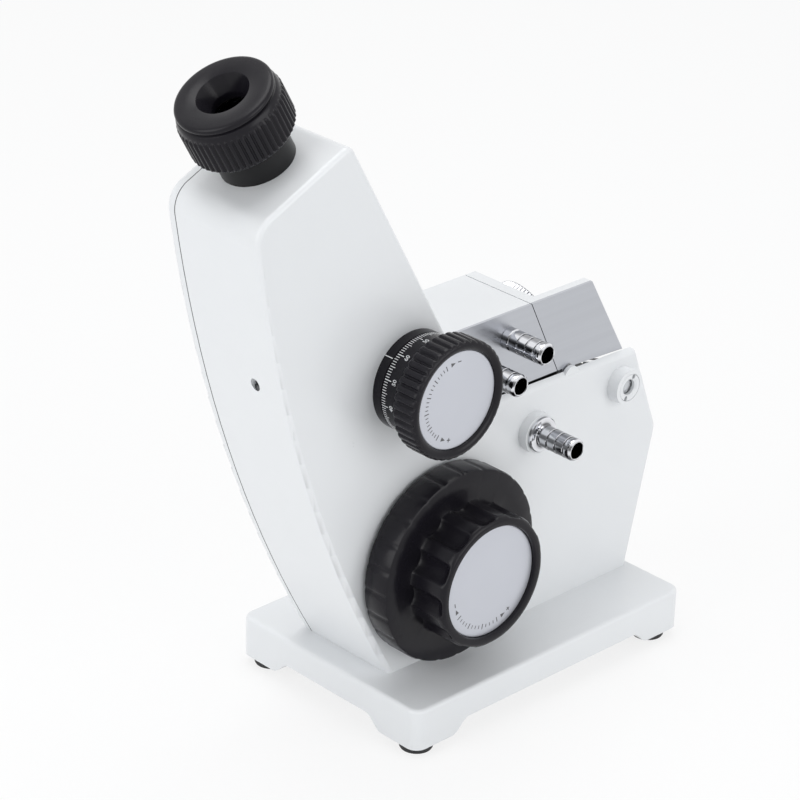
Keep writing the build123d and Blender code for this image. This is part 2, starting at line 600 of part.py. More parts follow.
# ----------------------------------------------------------------------------- dispersion knob
def make_dispersion_drive():
    """Fluted knob, its face disc and scale ring, and the shaft that carries a mitre gear inside."""
    at = Pos(DISPERSION_X, KNOB_Z)
    grip = slab(at * toothed(GRIP_FLUTES, GRIP_RADIUS - GRIP_FLUTE_DEPTH, GRIP_RADIUS, 0.5, 0.3),
                GRIP_FRONT + 2.0, GRIP_BACK)
    cone = Pos(DISPERSION_X, GRIP_BACK, KNOB_Z) * Rot(90, 0, 0) * Cone(
        INDEX_RING_RADIUS + 0.5, GRIP_RADIUS + 9.5, 9.0, align=UP)
    grip = grip & cone
    rim = rod(DISPERSION_X, KNOB_Z, GRIP_RADIUS, GRIP_FRONT, GRIP_FRONT + 2.0)
    rim = fillet(rim.faces().sort_by(Axis.Y)[0].edges(), 1.2)
    knob = grip + rim + rod(DISPERSION_X, KNOB_Z, KNOB_HUB_RADIUS, GRIP_BACK, SCALE_RING_BACK)
    x, z = DISPERSION_X, KNOB_Z
    disc_back = GRIP_FRONT + DISC_THICKNESS + 0.4
    knob -= rod(x, z, DISPERSION_DISC_RADIUS + 0.1, GRIP_FRONT - 1, disc_back)
    knob -= rod(x, z, DISPERSION_SHAFT_RADIUS + SLIP, GRIP_FRONT + 3.0, SCALE_RING_BACK + 1)
    disc = rod(x, z, DISPERSION_DISC_RADIUS, GRIP_FRONT + 0.4, disc_back)
    scale = tube(x, z, INDEX_RING_RADIUS, KNOB_HUB_RADIUS + SLIP, GRIP_BACK, SCALE_RING_BACK)
    shaft_end = TELESCOPE_Y - BEVEL_RADIUS * BEVEL_INNER_SHARE
    shaft = rod(x, z, DISPERSION_SHAFT_RADIUS, GRIP_FRONT + 3.0, shaft_end)
    pinion = bevel_gear(DISPERSION_SHAFT_RADIUS + SLIP, True)
    pinion += Pos(0, 0, BEVEL_RADIUS) * (Cylinder(5.5, 3.0, align=UP)
                                         - Cylinder(DISPERSION_SHAFT_RADIUS + SLIP, 20))
    seat = Plane(origin=(DISPERSION_X, TELESCOPE_Y, KNOB_Z), x_dir=telescope.z_dir, z_dir=(0, -1, 0))
    keep("dispersion_knob", knob)
    keep("dispersion_knob_disc", disc)
    keep("dispersion_scale_ring", scale)
    keep("dispersion_shaft", shaft)
    keep("dispersion_bevel_gear", seat.location * pinion)
    keep("dispersion_index_ring", tube(x, z, INDEX_RING_RADIUS, BUSH_RADIUS + 2.5 + SLIP,
                                       INDEX_FRONT, NEAR_FACE_Y))
    bore, bush_front = DISPERSION_SHAFT_RADIUS + RUN, INDEX_FRONT + 1.2
    bush = tube(x, z, BUSH_RADIUS - SLIP, bore, bush_front, NEAR_INNER_Y + 4)
    bush += tube(x, z, BUSH_RADIUS + 2.5, bore, bush_front, NEAR_FACE_Y)
    keep("dispersion_bush", bush)


# ----------------------------------------------------------------------------- adjustment handwheel
def make_adjust_drive():
    """Large notched handwheel with a fluted grip, its face disc, shaft and pinion."""
    at = Pos(ADJUST_X, ADJUST_Z)
    wheel = slab(at * Circle(HANDWHEEL_RADIUS), WHEEL_FRONT, WHEEL_BACK)
    wheel = fillet(wheel.edges(), 1.4)
    for index in range(HANDWHEEL_NOTCHES):
        angle = 2 * math.pi * index / HANDWHEEL_NOTCHES
        place = Pos(ADJUST_X + (HANDWHEEL_RADIUS + 0.25) * math.cos(angle),
                    ADJUST_Z + (HANDWHEEL_RADIUS + 0.25) * math.sin(angle))
        wheel -= slab(place * Rot(0, 0, math.degrees(angle)) * Rectangle(1.6, 1.6),
                      WHEEL_FRONT - 1, WHEEL_BACK + 1)
    grip = rod(ADJUST_X, ADJUST_Z, HANDGRIP_RADIUS, HANDGRIP_FRONT, WHEEL_FRONT)
    grip = fillet(grip.faces().sort_by(Axis.Y)[0].edges(), 1.6)
    for index in range(HANDGRIP_FLUTES):
        angle = 2 * math.pi * (index + 0.5) / HANDGRIP_FLUTES
        x = ADJUST_X + (HANDGRIP_RADIUS + 3.0) * math.cos(angle)
        z = ADJUST_Z + (HANDGRIP_RADIUS + 3.0) * math.sin(angle)
        grip -= rod(x, z, 4.8, HANDGRIP_FRONT + 3.6, WHEEL_FRONT)
    wheel += grip
    x, z = ADJUST_X, ADJUST_Z
    disc_front = HANDGRIP_FRONT + ADJUST_DISC_RECESS
    disc_back = disc_front + DISC_THICKNESS
    wheel -= rod(x, z, ADJUST_DISC_RADIUS + 0.1, HANDGRIP_FRONT - 1, disc_back)
    wheel -= rod(x, z, HANDWHEEL_RADIUS - 6, WHEEL_BACK - 3.0, WHEEL_BACK + 1)
    wheel += rod(x, z, 9.0, WHEEL_BACK - 4.0, WHEEL_BACK - 0.5)
    wheel -= rod(x, z, ADJUST_SHAFT_RADIUS + SLIP, disc_front + 4.0, WHEEL_BACK + 1)
    keep("adjustment_handwheel", wheel)
    keep("adjustment_disc", rod(x, z, ADJUST_DISC_RADIUS, disc_front, disc_back))
    turn = facing(ADJUST_X, ADJUST_Z, ARBOR_X, ARBOR_Z)
    pinion = spur_outline(PINION_TEETH, 1, 0, PINION_TEETH - 1, 0, turn)
    shaft = rod(x, z, ADJUST_SHAFT_RADIUS, disc_front + 4.0, BRIDGE_Y - AIR)
    shaft += rod(x, z, PIVOT_RADIUS, BRIDGE_Y - AIR, BRIDGE_Y + BRIDGE_THICKNESS)
    shaft += slab(at * pinion, SCALE_GEAR_Y - 0.2, BRIDGE_Y - AIR)
    keep("adjustment_pinion_shaft", shaft)
    bore = ADJUST_SHAFT_RADIUS + RUN
    bush = tube(x, z, BUSH_RADIUS - SLIP, bore, NEAR_FACE_Y, NEAR_INNER_Y + 4)
    bush += tube(x, z, BUSH_RADIUS + 2, bore, NEAR_INNER_Y, NEAR_INNER_Y + 2)
    keep("adjustment_bush", bush)


def make_scale_drive():
    """Glass scale disc on its arbor, with the toothed sector and the pinion for the mirror."""
    at = Pos(ARBOR_X, ARBOR_Z)
    to_hand = facing(ARBOR_X, ARBOR_Z, ADJUST_X, ADJUST_Z)
    step = 2 * math.pi / SCALE_GEAR_TEETH
    half_count = 8
    sector = spur_outline(SCALE_GEAR_TEETH, PIVOT_RADIUS + 1 + SLIP, -half_count, half_count - 1, 6.0,
                          to_hand + step / 2)
    keep("scale_gear_sector", slab(at * sector, SCALE_GEAR_Y, SCALE_GEAR_Y + GEAR_WIDTH))
    to_mirror = facing(ARBOR_X, ARBOR_Z, MIRROR_X, MIRROR_Z)
    pinion = spur_outline(PINION_TEETH, 1, 0, PINION_TEETH - 1, 0, to_mirror)
    arbor = rod(ARBOR_X, ARBOR_Z, PIVOT_RADIUS + 1, NEAR_INNER_Y + 3 + AIR, BRIDGE_Y - AIR)
    arbor += rod(ARBOR_X, ARBOR_Z, PIVOT_RADIUS, NEAR_INNER_Y - 0.5, BRIDGE_Y + BRIDGE_THICKNESS)
    arbor += rod(ARBOR_X, ARBOR_Z, 6.0, SCALE_DISC_Y + 1.5, SCALE_DISC_Y + 4.5)
    arbor += slab(at * pinion, MIRROR_GEAR_Y - 0.1, SCALE_GEAR_Y)
    keep("scale_arbor", arbor)
    keep("scale_disc", tube(ARBOR_X, ARBOR_Z, SCALE_DISC_RADIUS, PIVOT_RADIUS + 1 + SLIP,
                            SCALE_DISC_Y, SCALE_DISC_Y + 1.5))


def make_mirror_drive():
    """Swinging mirror on its carrier, with the toothed sector that turns it."""
    into = Vector(MIRROR_X, 0, MIRROR_Z) - split_plane.from_local_coords((7.5, 0, -5))
    into = Vector(into.X, 0, into.Z).normalized()
    normal = (telescope.z_dir - into).normalized()
    frame = Plane(origin=(MIRROR_X, TELESCOPE_Y, MIRROR_Z), x_dir=(0, 1, 0), z_dir=normal)
    width, depth = MIRROR_WIDTH, 16.0
    glass = frame.location * (Pos(0, 0, -2) * Box(width, depth, 2, align=UP))
    carrier = frame.location * (Pos(0, 0, -5) * Box(width + 0.2, depth, 3 - SLIP,
                                                    align=UP))
    low, high = TELESCOPE_Y - width / 2, TELESCOPE_Y + width / 2
    for y in (low - 2.1, high + 0.1):
        cheek = frame.location * (Pos(y + 1 - TELESCOPE_Y, 0, -1.2) * Box(2.0, 9.0, 7.6))
        carrier += cheek
    carrier += rod(MIRROR_X, MIRROR_Z, PIVOT_RADIUS, NEAR_INNER_Y - 0.5, low - 1.0)
    carrier += rod(MIRROR_X, MIRROR_Z, PIVOT_RADIUS + 0.8, NEAR_INNER_Y + 3 + AIR, low - 1.0)
    carrier += rod(MIRROR_X, MIRROR_Z, PIVOT_RADIUS, high + 1.0, BRIDGE_Y + BRIDGE_THICKNESS)
    keep("swing_mirror", glass)
    keep("mirror_carrier", carrier)
    to_arbor = facing(MIRROR_X, MIRROR_Z, ARBOR_X, ARBOR_Z)
    step = 2 * math.pi / MIRROR_GEAR_TEETH
    sector = spur_outline(MIRROR_GEAR_TEETH, PIVOT_RADIUS + SLIP, -3, 2, 4.5, to_arbor + step / 2)
    keep("mirror_gear_sector", slab(Pos(MIRROR_X, MIRROR_Z) * sector, MIRROR_GEAR_Y,
                                    MIRROR_GEAR_Y + MIRROR_GEAR_WIDTH))


def make_bridge():
    """Plate that holds the far ends of the handwheel shaft, the arbor and the mirror's pivot."""
    seats = [(ADJUST_X, ADJUST_Z), (ARBOR_X, ARBOR_Z), (MIRROR_X, MIRROR_Z)]
    posts = [(-20.0, BASE_TOP + 20.0), (-52.5, BASE_TOP + 24.0), (-9.0, BASE_TOP + 52.0)]
    plate = Sketch() + [Pos(x, z) * Circle(5.5) for x, z in seats + posts]
    arms = [(seats[0], seats[1]), (seats[1], seats[2]), (seats[2], seats[0]),
            (posts[0], seats[0]), (posts[1], seats[0]), (posts[2], seats[2])]
    for (xa, za), (xb, zb) in arms:
        length = math.hypot(xb - xa, zb - za)
        angle = math.degrees(math.atan2(zb - za, xb - xa))
        plate += Pos((xa + xb) / 2, (za + zb) / 2) * Rot(0, 0, angle) * Rectangle(length, 9)
    bridge = slab(plate, BRIDGE_Y, BRIDGE_Y + BRIDGE_THICKNESS)
    for x, z in posts:
        bridge += rod(x, z, 3.0, NEAR_INNER_Y, BRIDGE_Y)
    for x, z in seats:
        bridge -= rod(x, z, PIVOT_RADIUS + RUN, BRIDGE_Y - 1, BRIDGE_Y + BRIDGE_THICKNESS + 1)
    return bridge


# ----------------------------------------------------------------------------- telescope
def make_compensator():
    """Housing with two counter-turning cells, each with a direct-vision prism."""
    half = HOUSING_HALF_LENGTH
    housing = ring(telescope, HOUSING_RADIUS, CELL_RADIUS + RUN, -half, half)
    housing -= rod(DISPERSION_X, KNOB_Z, 10.8, -40, TELESCOPE_Y)
    keep("compensator_housing", housing)
    snug = CELL_RADIUS + RUN - SLIP
    rings = ring(telescope, snug, 8.0, CELL_END + 0.3, half)
    rings += ring(telescope, snug, 8.0, -half, -CELL_END - 0.3)
    keep("cell_retaining_rings", rings)
    side = AMICI_PRISM_SIDE
    for name, flip in (("upper", 0), ("lower", 180)):
        cell = Pos(0, 0, BEVEL_RADIUS) * extrude(Circle(8.4) - Circle(5.4), amount=2)
        cell += Pos(0, 0, BEVEL_RADIUS + 1) * extrude(Circle(CELL_RADIUS) - Circle(5.4),
                                                      amount=CELL_END - BEVEL_RADIUS - 1)
        cell += Rot(0, 0, 180) * bevel_gear(5.4, False)
        cell -= Pos(0, 0, BEVEL_RADIUS + 2) * Box(side + 0.06, side + 0.06, 40,
                                                  align=UP)
        start, end = BEVEL_RADIUS + 2, CELL_END - 0.2
        wide = side / 2
        wedge = outline([(-wide, start), (wide, start + 2), (wide, end - 2), (-wide, end)])
        prism = extrude(Plane.XZ * wedge, amount=wide, both=True)
        seat = telescope.location * Rot(0, flip, 0) * Rot(0, 0, flip)
        keep(f"{name}_amici_cell", seat * cell)
        keep(f"{name}_amici_prism", seat * prism)


def lens(frame, radius, low, edge, bulge):
    """Biconvex lens on the axis of a frame."""
    body = Pos(0, 0, low) * extrude(Circle(radius), amount=edge)
    ball = (radius ** 2 + bulge ** 2) / (2 * bulge)
    for height, way in ((low + edge, 1), (low, -1)):
        cap = Pos(0, 0, height + way * (bulge - ball)) * Sphere(ball)
        keep_side = Pos(0, 0, height + way * bulge / 2) * Box(4 * radius, 4 * radius, bulge)
        body += cap & keep_side
    return frame.location * body


def make_telescope():
    """Tube with the objective and the cross-hair glass, and the eyepiece that screws on a sleeve."""
    inner = TUBE_RADIUS - TUBE_WALL
    keep("telescope_tube", ring(telescope, TUBE_RADIUS, inner, HOUSING_HALF_LENGTH, TUBE_TOP))
    keep("objective_lens", lens(telescope, inner - SLIP, 34, 3.0, 1.4))
    keep("reticle_glass", ring(telescope, inner - SLIP, 0, 76, 78))
    sleeve = ring(telescope, SLEEVE_RADIUS, SLEEVE_BORE, TUBE_TOP, SLEEVE_TOP)
    keep("eyepiece_sleeve", sleeve)
    recess = CAP_TOP - EYE_RECESS_DEPTH
    keep("eyepiece_barrel", ring(telescope, SLEEVE_BORE - RUN, 8.4 + SLIP, TUBE_TOP + 5, recess - 2.4))
    lenses = lens(telescope, 8.4, TUBE_TOP + 9, 2.0, 1.0)
    lenses += lens(telescope, 8.4, recess - 6.5, 2.0, 1.0)
    keep("eyepiece_lenses", lenses)
    knurl_top = CAP_TOP - CAP_RIM_DEPTH
    knurl = toothed(CAP_TEETH, CAP_RADIUS - 0.7, CAP_RADIUS, 0.3, 0.3)
    cap = Pos(0, 0, CAP_BOTTOM + 1.2) * extrude(knurl, amount=knurl_top - 1.6 - CAP_BOTTOM - 1.2)
    cap += Pos(0, 0, CAP_BOTTOM) * extrude(Circle(CAP_RADIUS - 1.0), amount=1.2)
    cap += Pos(0, 0, knurl_top - 1.6) * Cone(CAP_RADIUS - 0.3, CAP_RADIUS - 1.5, 2.0, align=UP)
    rim = Pos(0, 0, knurl_top) * extrude(Circle(CAP_RIM_RADIUS), amount=CAP_RIM_DEPTH)
    cap += fillet(rim.edges().sort_by(Axis.Z)[-1], 1.0)
    cap -= Pos(0, 0, recess) * Cone(EYE_HOLE_RADIUS, EYE_RECESS_RADIUS, EYE_RECESS_DEPTH, align=UP)
    cap -= Cylinder(EYE_HOLE_RADIUS, CAP_TOP, align=UP)
    cap -= Cylinder(SLEEVE_RADIUS + RUN, SLEEVE_TOP + 2.0, align=UP)
    cap -= Cylinder(SLEEVE_BORE, recess - 2.0, align=UP)
    keep("eyepiece_cap", telescope.location * cap)


# ----------------------------------------------------------------------------- prism head
def prism_sketch(points):
    """Face in the X and Z sketch from points given along and out of the split plane."""
    spots = [split_plane.from_local_coords((s, 0, n)) for s, n in points]
    return outline([(p.X, p.Z) for p in spots])


def seat_outline():
    """Fixed prism seat, from the body's front edge to the split plane."""
    return outline([(front_line_x(PRISM_BOTTOM_Z), PRISM_BOTTOM_Z), (SPLIT_FOOT_X, PRISM_BOTTOM_Z),
                    (SPLIT_TOP_X, PRISM_TOP_Z), (front_line_x(PRISM_TOP_Z), PRISM_TOP_Z)])


def make_fixed_seat():
    """Prism seat that stays on the body, its brushed face plate, top plate and measuring prism."""
    seat = slab(seat_outline(), JACKET_Y, PRISM_FAR_Y)
    pocket = prism_sketch([(PRISM_FACE_START, 1), (PRISM_FACE_START + PRISM_FACE_LENGTH, 1),
                           (PRISM_FACE_START + PRISM_FACE_LENGTH, -2), (PRISM_FACE_START + 8.5, -9),
                           (PRISM_FACE_START + 5.0, -9), (PRISM_FACE_START, -2)])
    seat -= slab(pocket, -PRISM_HALF_WIDTH - SLIP, PRISM_HALF_WIDTH + SLIP)
    low, high = PRISM_FACE_START + 0.05, PRISM_FACE_START + PRISM_FACE_LENGTH - 0.05
    glass = prism_sketch([(low, 0), (high, 0), (high, -2), (low + 8.35, -8.93),
                          (low + 5.05, -8.93), (low, -2)])
    keep("measuring_prism", slab(glass, -PRISM_HALF_WIDTH, PRISM_HALF_WIDTH))
    seat -= light_path()
    slot = extrude(SlotCenterToCenter(1.8, 2 * (LOCK_STUD_RADIUS + 0.6)), amount=-7.0)
    seat -= split_plane.location * (Pos(LOCK_HEIGHT + 0.2, 0, 0) * slot)
    for x, rise in (NOZZLE_UPPER, NOZZLE_LOWER):
        seat -= rod(x, BASE_TOP + rise, NOZZLE_NECK_RADIUS + SLIP, JACKET_Y - 1, JACKET_Y + 5)
    keep("measuring_prism_seat", seat)
    plate = slab(seat_outline(), PRISM_NEAR_Y, JACKET_Y)
    for x, rise in (NOZZLE_UPPER, NOZZLE_LOWER):
        plate -= rod(x, BASE_TOP + rise, NOZZLE_NECK_RADIUS + SLIP, PRISM_NEAR_Y - 1, JACKET_Y + 1)
    keep("fixed_face_plate", plate)



def make_hinge():
    """Bracket under the fixed seat with the two hinge lugs, and the stub pins."""
    outer_y = LUG_Y + LUG_THICKNESS
    bracket = block(front_line_x(DECK_Z) + 0.5, NICHE_BACK_X - 4.5, -outer_y, outer_y,
                    DECK_Z, PRISM_BOTTOM_Z)
    for way in (-1, 1):
        low, high = sorted((way * LUG_Y, way * (LUG_Y + LUG_THICKNESS)))
        arm = outline([(NICHE_BACK_X - 6, DECK_Z), (HINGE_X, HINGE_Z - HINGE_EAR_RADIUS),
                       (HINGE_X, HINGE_Z + 0.3), (NICHE_BACK_X - 6, PRISM_BOTTOM_Z)])
        bracket += slab(arm, low, high) + rod(HINGE_X, HINGE_Z, HINGE_EAR_RADIUS, low, high)
        bracket -= rod(HINGE_X, HINGE_Z, HINGE_PIN_RADIUS + SLIP, low - 1, high + 1)
    bracket -= light_path()
    keep("hinge_bracket", bracket)
    pins = rod(HINGE_X, HINGE_Z, HINGE_PIN_RADIUS, PRISM_NEAR_Y - 0.1, -LUG_Y)
    pins += rod(HINGE_X, HINGE_Z, HINGE_PIN_RADIUS, LUG_Y, PRISM_FAR_Y + 1.5)
    keep("hinge_pins", pins)


def make_lid():
    """Seat that opens: plate along the split, near cheek, prism box, ears; with prism and plates."""
    top_s = PRISM_HEIGHT / math.cos(TILT)
    front_top = (LID_FRONT_TOP_X, PRISM_TOP_Z)
    front_bottom = (LID_FRONT_BOTTOM_X, PRISM_BOTTOM_Z - LID_DROP)
    cheek_face = outline([(SPLIT_FOOT_X + SEAT_SHIFT, PRISM_BOTTOM_Z), front_bottom, front_top,
                          (SPLIT_TOP_X + SEAT_SHIFT, PRISM_TOP_Z)])
    cheek_face += Pos(HINGE_X, HINGE_Z) * Circle(HINGE_EAR_RADIUS)
    plate_face = prism_sketch([(0, SEAT_GAP), (top_s, SEAT_GAP),
                               (top_s + LID_PLATE * math.tan(TILT), LID_PLATE), (0, LID_PLATE)])
    plate_face &= outline([(-50, PRISM_BOTTOM_Z), (200, PRISM_BOTTOM_Z),
                           (200, PRISM_TOP_Z), (-50, PRISM_TOP_Z)])
    lid = slab(cheek_face, JACKET_Y, JACKET_Y + LID_CHEEK)
    lid += slab(plate_face, JACKET_Y, PRISM_FAR_Y)
    box_top = PRISM_BOTTOM_Z + LID_BOX_HEIGHT
    box_face = outline([(SPLIT_FOOT_X + SEAT_SHIFT, PRISM_BOTTOM_Z), (LID_BOX_FRONT_X, PRISM_BOTTOM_Z),
                        (LID_BOX_FRONT_X - 4.0, box_top),
                        (SPLIT_FOOT_X + SEAT_SHIFT - LID_BOX_HEIGHT * math.tan(TILT), box_top)])
    lid += slab(box_face, -LID_BOX_HALF_WIDTH, PRISM_FAR_Y)
    ear = Pos(HINGE_X, HINGE_Z) * Circle(HINGE_EAR_RADIUS)
    ear_low = LUG_Y + LUG_THICKNESS + AIR
    lid += slab(ear, ear_low, PRISM_FAR_Y)
    # room for the bracket's lugs
    for way in (-1, 1):
        low, high = sorted((way * (LUG_Y - AIR), way * (LUG_Y + LUG_THICKNESS + AIR)))
        lid -= rod(HINGE_X, HINGE_Z, HINGE_EAR_RADIUS + AIR, low, high)
    lid -= rod(HINGE_X, HINGE_Z, HINGE_EAR_RADIUS + AIR, -LUG_Y, LUG_Y)
    lid -= rod(HINGE_X, HINGE_Z, HINGE_PIN_RADIUS + RUN, -40, 40)
    steep = PRISM_FACE_LENGTH / (LIGHT_PRISM_DEPTH - SEAT_GAP)
    tip = PRISM_FACE_START + PRISM_FACE_LENGTH + 0.06
    pocket = prism_sketch([(-6, -1), (tip + steep * (1 + SEAT_GAP), -1),
                           (tip - steep * (LIGHT_PRISM_DEPTH + 0.05 - SEAT_GAP), LIGHT_PRISM_DEPTH + 0.05),
                           (-6, LIGHT_PRISM_DEPTH + 0.05)])
    lid -= slab(pocket, -PRISM_HALF_WIDTH - SLIP, PRISM_HALF_WIDTH + SLIP)
    lid -= split_plane.location * (Pos(LOCK_HEIGHT, 0, 0) * Cylinder(LOCK_STUD_RADIUS + RUN, 30))
    keep("lighting_prism_seat", lid)
    glass = prism_sketch([(PRISM_FACE_START, SEAT_GAP), (PRISM_FACE_START + PRISM_FACE_LENGTH, SEAT_GAP),
                          (PRISM_FACE_START, LIGHT_PRISM_DEPTH)])
    keep("lighting_prism", slab(glass, -PRISM_HALF_WIDTH, PRISM_HALF_WIDTH))
    plate = slab(cheek_face, PRISM_NEAR_Y, JACKET_Y)
    plate -= rod(HINGE_X, HINGE_Z, HINGE_PIN_RADIUS + RUN, PRISM_NEAR_Y - 1, JACKET_Y + 1)
    keep("lid_face_plate", plate)


def make_lock():
    """Knurled wheel on a stud that holds the two prism seats together."""
    wheel = Pos(LOCK_HEIGHT, 0, LID_PLATE + AIR) * extrude(
        toothed(LOCK_TEETH, LOCK_WHEEL_RADIUS - 0.5, LOCK_WHEEL_RADIUS, 0.35, 0.3), amount=LOCK_WHEEL_DEPTH)
    wheel += Pos(LOCK_HEIGHT, 0, LID_PLATE + AIR + LOCK_WHEEL_DEPTH) * Cone(
        5.5, 4.5, 1.2, align=UP)
    wheel += Pos(LOCK_HEIGHT, 0, -3.6) * extrude(Circle(LOCK_STUD_RADIUS), amount=3.6 + LID_PLATE + AIR)
    keep("lock_wheel", split_plane.location * wheel)


# ----------------------------------------------------------------------------- nozzles and small optics
def nozzle(x, z, seat_y, length, flange):
    """Barbed hose nozzle that starts on a seat and points along -Y."""
    neck, crest = NOZZLE_NECK_RADIUS, NOZZLE_RADIUS
    profile = [(NOZZLE_BORE, -2.4), (neck, -2.4), (neck, 0)]
    start = 0.0
    if flange:
        profile += [(NOZZLE_FLANGE_RADIUS, 0), (NOZZLE_FLANGE_RADIUS, NOZZLE_FLANGE_DEPTH),
                    (neck, NOZZLE_FLANGE_DEPTH)]
        start = NOZZLE_FLANGE_DEPTH
    else:
        profile += [(crest, 0), (crest, 3.0), (neck, 3.4)]
        start = 3.4
    step = (length - start - 4.4) / 3
    for index in range(3):
        low = start + index * step
        profile += [(neck, low + 0.35 * step), (crest, low + 0.45 * step), (crest, low + 0.8 * step),
                    (neck, low + step)]
    profile += [(neck, length - 4.4), (crest, length - 3.8), (crest, length - 0.5),
                (crest - 0.5, length), (NOZZLE_BORE, length)]
    cleaned = [p for i, p in enumerate(profile) if i == 0 or p != profile[i - 1]]
    solid = revolve(Plane.XZ * outline(cleaned), Axis.Z)
    frame = Plane(origin=(x, seat_y, z), z_dir=(0, -1, 0))
    return frame.location * solid


def make_nozzles():
    """Two nozzles on the fixed prism seat and one on the body wall."""
    pair = Part()
    for x, rise in (NOZZLE_UPPER, NOZZLE_LOWER):
        pair += nozzle(x, BASE_TOP + rise, PRISM_NEAR_Y, NOZZLE_LENGTH, False)
    keep("prism_hose_nozzles", pair)
    keep("body_hose_nozzle", nozzle(BODY_NOZZLE[0], BASE_TOP + BODY_NOZZLE[1],
                                    NEAR_FACE_Y - BODY_NOZZLE_BOSS_HEIGHT, BODY_NOZZLE_LENGTH, True))


def make_scale_light():
    """Condenser lens in its slotted ring, the mirror behind it, and the ground glass window."""
    x, z = CONDENSER[0], BASE_TOP + CONDENSER[1]
    front = NEAR_FACE_Y - CONDENSER_BOSS_HEIGHT
    holder = tube(x, z, CONDENSER_BOSS_RADIUS - 1.4 - SLIP, CONDENSER_LENS_RADIUS - 0.4,
                  front, front + 1.6)
    angle = math.radians(65)
    for way in (-1, 1):
        dx, dz = way * 4.2 * math.cos(angle), way * 4.2 * math.sin(angle)
        slot = Pos(x + dx, z + dz) * Rot(0, 0, 65) * SlotCenterToCenter(0.9, 0.9)
        holder -= slab(slot, front - 1, front + 1)
    keep("condenser_retaining_ring", holder)
    frame = Plane(origin=(x, front + 1.6, z), z_dir=(0, 1, 0))
    keep("condenser_lens", lens(frame, CONDENSER_LENS_RADIUS - SLIP, 0.9, 1.2, 0.8))
    centre = Pos(x, SCALE_LIGHT_Y, z)
    ahead = (Align.MIN, Align.CENTER, Align.CENTER)
    glass = centre * Rot(0, 0, 45) * Box(1.5, 9.0, 8.0, align=ahead)
    keep("scale_light_mirror", glass)
    bracket = centre * Rot(0, 0, 45) * Pos(1.5 + SLIP, 0, 0) * Box(1.5, 9.0, 8.0, align=ahead)
    bracket += block(x + 1.0, x + 5.0, SCALE_LIGHT_Y - 0.5, PARTING_Y, z - 4.0, z - 2.0)
    bracket -= centre * Rot(0, 0, 45) * Box(3.0 + 2 * SLIP, 9.4, 8.4)
    keep("scale_mirror_bracket", bracket)
    half = 4 - SLIP
    keep("ground_glass", block(NICHE_BACK_X - WALL, NICHE_BACK_X - 1.5, SCALE_LIGHT_Y - half,
                               SCALE_LIGHT_Y + half, z - half, z + half))


def make_reflector():
    """Reflecting mirror that throws light up into the prisms, in a frame on a forked bracket."""
    px, pz = REFLECTOR[0], BASE_TOP + REFLECTOR[1]
    y_low, y_high = -13.5, 13.5
    tilt = Plane(origin=(px, 0, pz), x_dir=(0, 1, 0), z_dir=(0.5, 0, 0.866))
    frame = tilt.location * Box(y_high - y_low, 24, 4.0)
    frame = fillet(frame.edges().filter_by(Axis(origin=(0, 0, 0), direction=tilt.z_dir)), 2.5)
    frame -= tilt.location * (Pos(0, 0, 0.6) * Box(y_high - y_low - 4, 20, 4.0, align=UP))
    frame += rod(px, pz, 1.5, y_low - 2.4, y_low + 1) + rod(px, pz, 1.5, y_high - 1, y_high + 2.4)
    keep("reflecting_mirror_frame", frame)
    glass = tilt.location * (Pos(0, 0, 0.6) * Box(y_high - y_low - 4.1, 19.9, 1.2, align=UP))
    keep("reflecting_mirror", glass)
    fork = block(px - 8, px + 8, y_low - 2.4, y_high + 2.4, NICHE_FLOOR_Z, NICHE_FLOOR_Z + 1.5)
    for low, high in ((y_low - 2.4, y_low - AIR), (y_high + AIR, y_high + 2.4)):
        ear = outline([(px - 6, NICHE_FLOOR_Z), (px + 6, NICHE_FLOOR_Z), (px + 3, pz), (px - 3, pz)])
        fork += slab(ear + Pos(px, pz) * Circle(3), low, high)
    fork -= rod(px, pz, 1.5 + RUN, -40, 40)
    keep("mirror_fork", fork)


def corner_prism(x, y, z, half, corners):
    """Half-cube prism: corners are two signs each, in Y and Z, of the three corners it keeps."""
    face = outline([(sy * half, sz * half) for sy, sz in corners])
    return Pos(x - half, y, z) * extrude(Plane.YZ * face, amount=2 * half)


def make_reading_optics():
    """Prisms and the tube that carry the scale's image up beside the telescope."""
    prisms = corner_prism(READ_X, READ_INPUT_Y + 3.6, READ_Z, 3.6, [(-1, -1), (-1, 1), (1, 1)])
    low = reading.location * (Pos(0, 0, -4) * Box(7.0, 7.0, 8.0, align=UP))
    high = Pos(0, 0, READ_LENGTH) * Box(7.0, 7.0, 7.0, align=UP)
    keep("reading_prisms", Part() + [prisms, low, reading.location * high])
    keep("reading_tube", ring(reading, READ_TUBE_RADIUS, READ_TUBE_RADIUS - 1, 4, READ_LENGTH))


def make_calibration():
    """Slotted screw in the spine that trims the telescope."""
    screw = calibration.location * (Pos(0, 0, -7) * Cylinder(1.95, 6.0, align=UP))
    screw -= calibration.location * (Pos(0, 0, -1.4) * Box(0.8, 6, 1.6, align=UP))
    return screw


# ----------------------------------------------------------------------------- assemble and write
def build_all():
    """Make every piece."""
    keep("base_casting", make_base())
    feet, screws = make_feet()
    keep("rubber_feet", feet)
    keep("foot_screws", screws)
    keep("base_screws", make_base_screws())
    keep("body_casting", make_body())
    keep("side_cover", make_cover())
    keep("cover_screws", make_cover_screws())
    make_dispersion_drive()
    make_adjust_drive()
    make_scale_drive()
    make_mirror_drive()
    keep("bearing_bridge", make_bridge())
    make_compensator()
    make_telescope()
    make_fixed_seat()
    make_hinge()
    make_lid()
    make_lock()
    make_nozzles()
    make_scale_light()
    make_reflector()
    make_reading_optics()
    keep("calibration_screw", make_calibration())


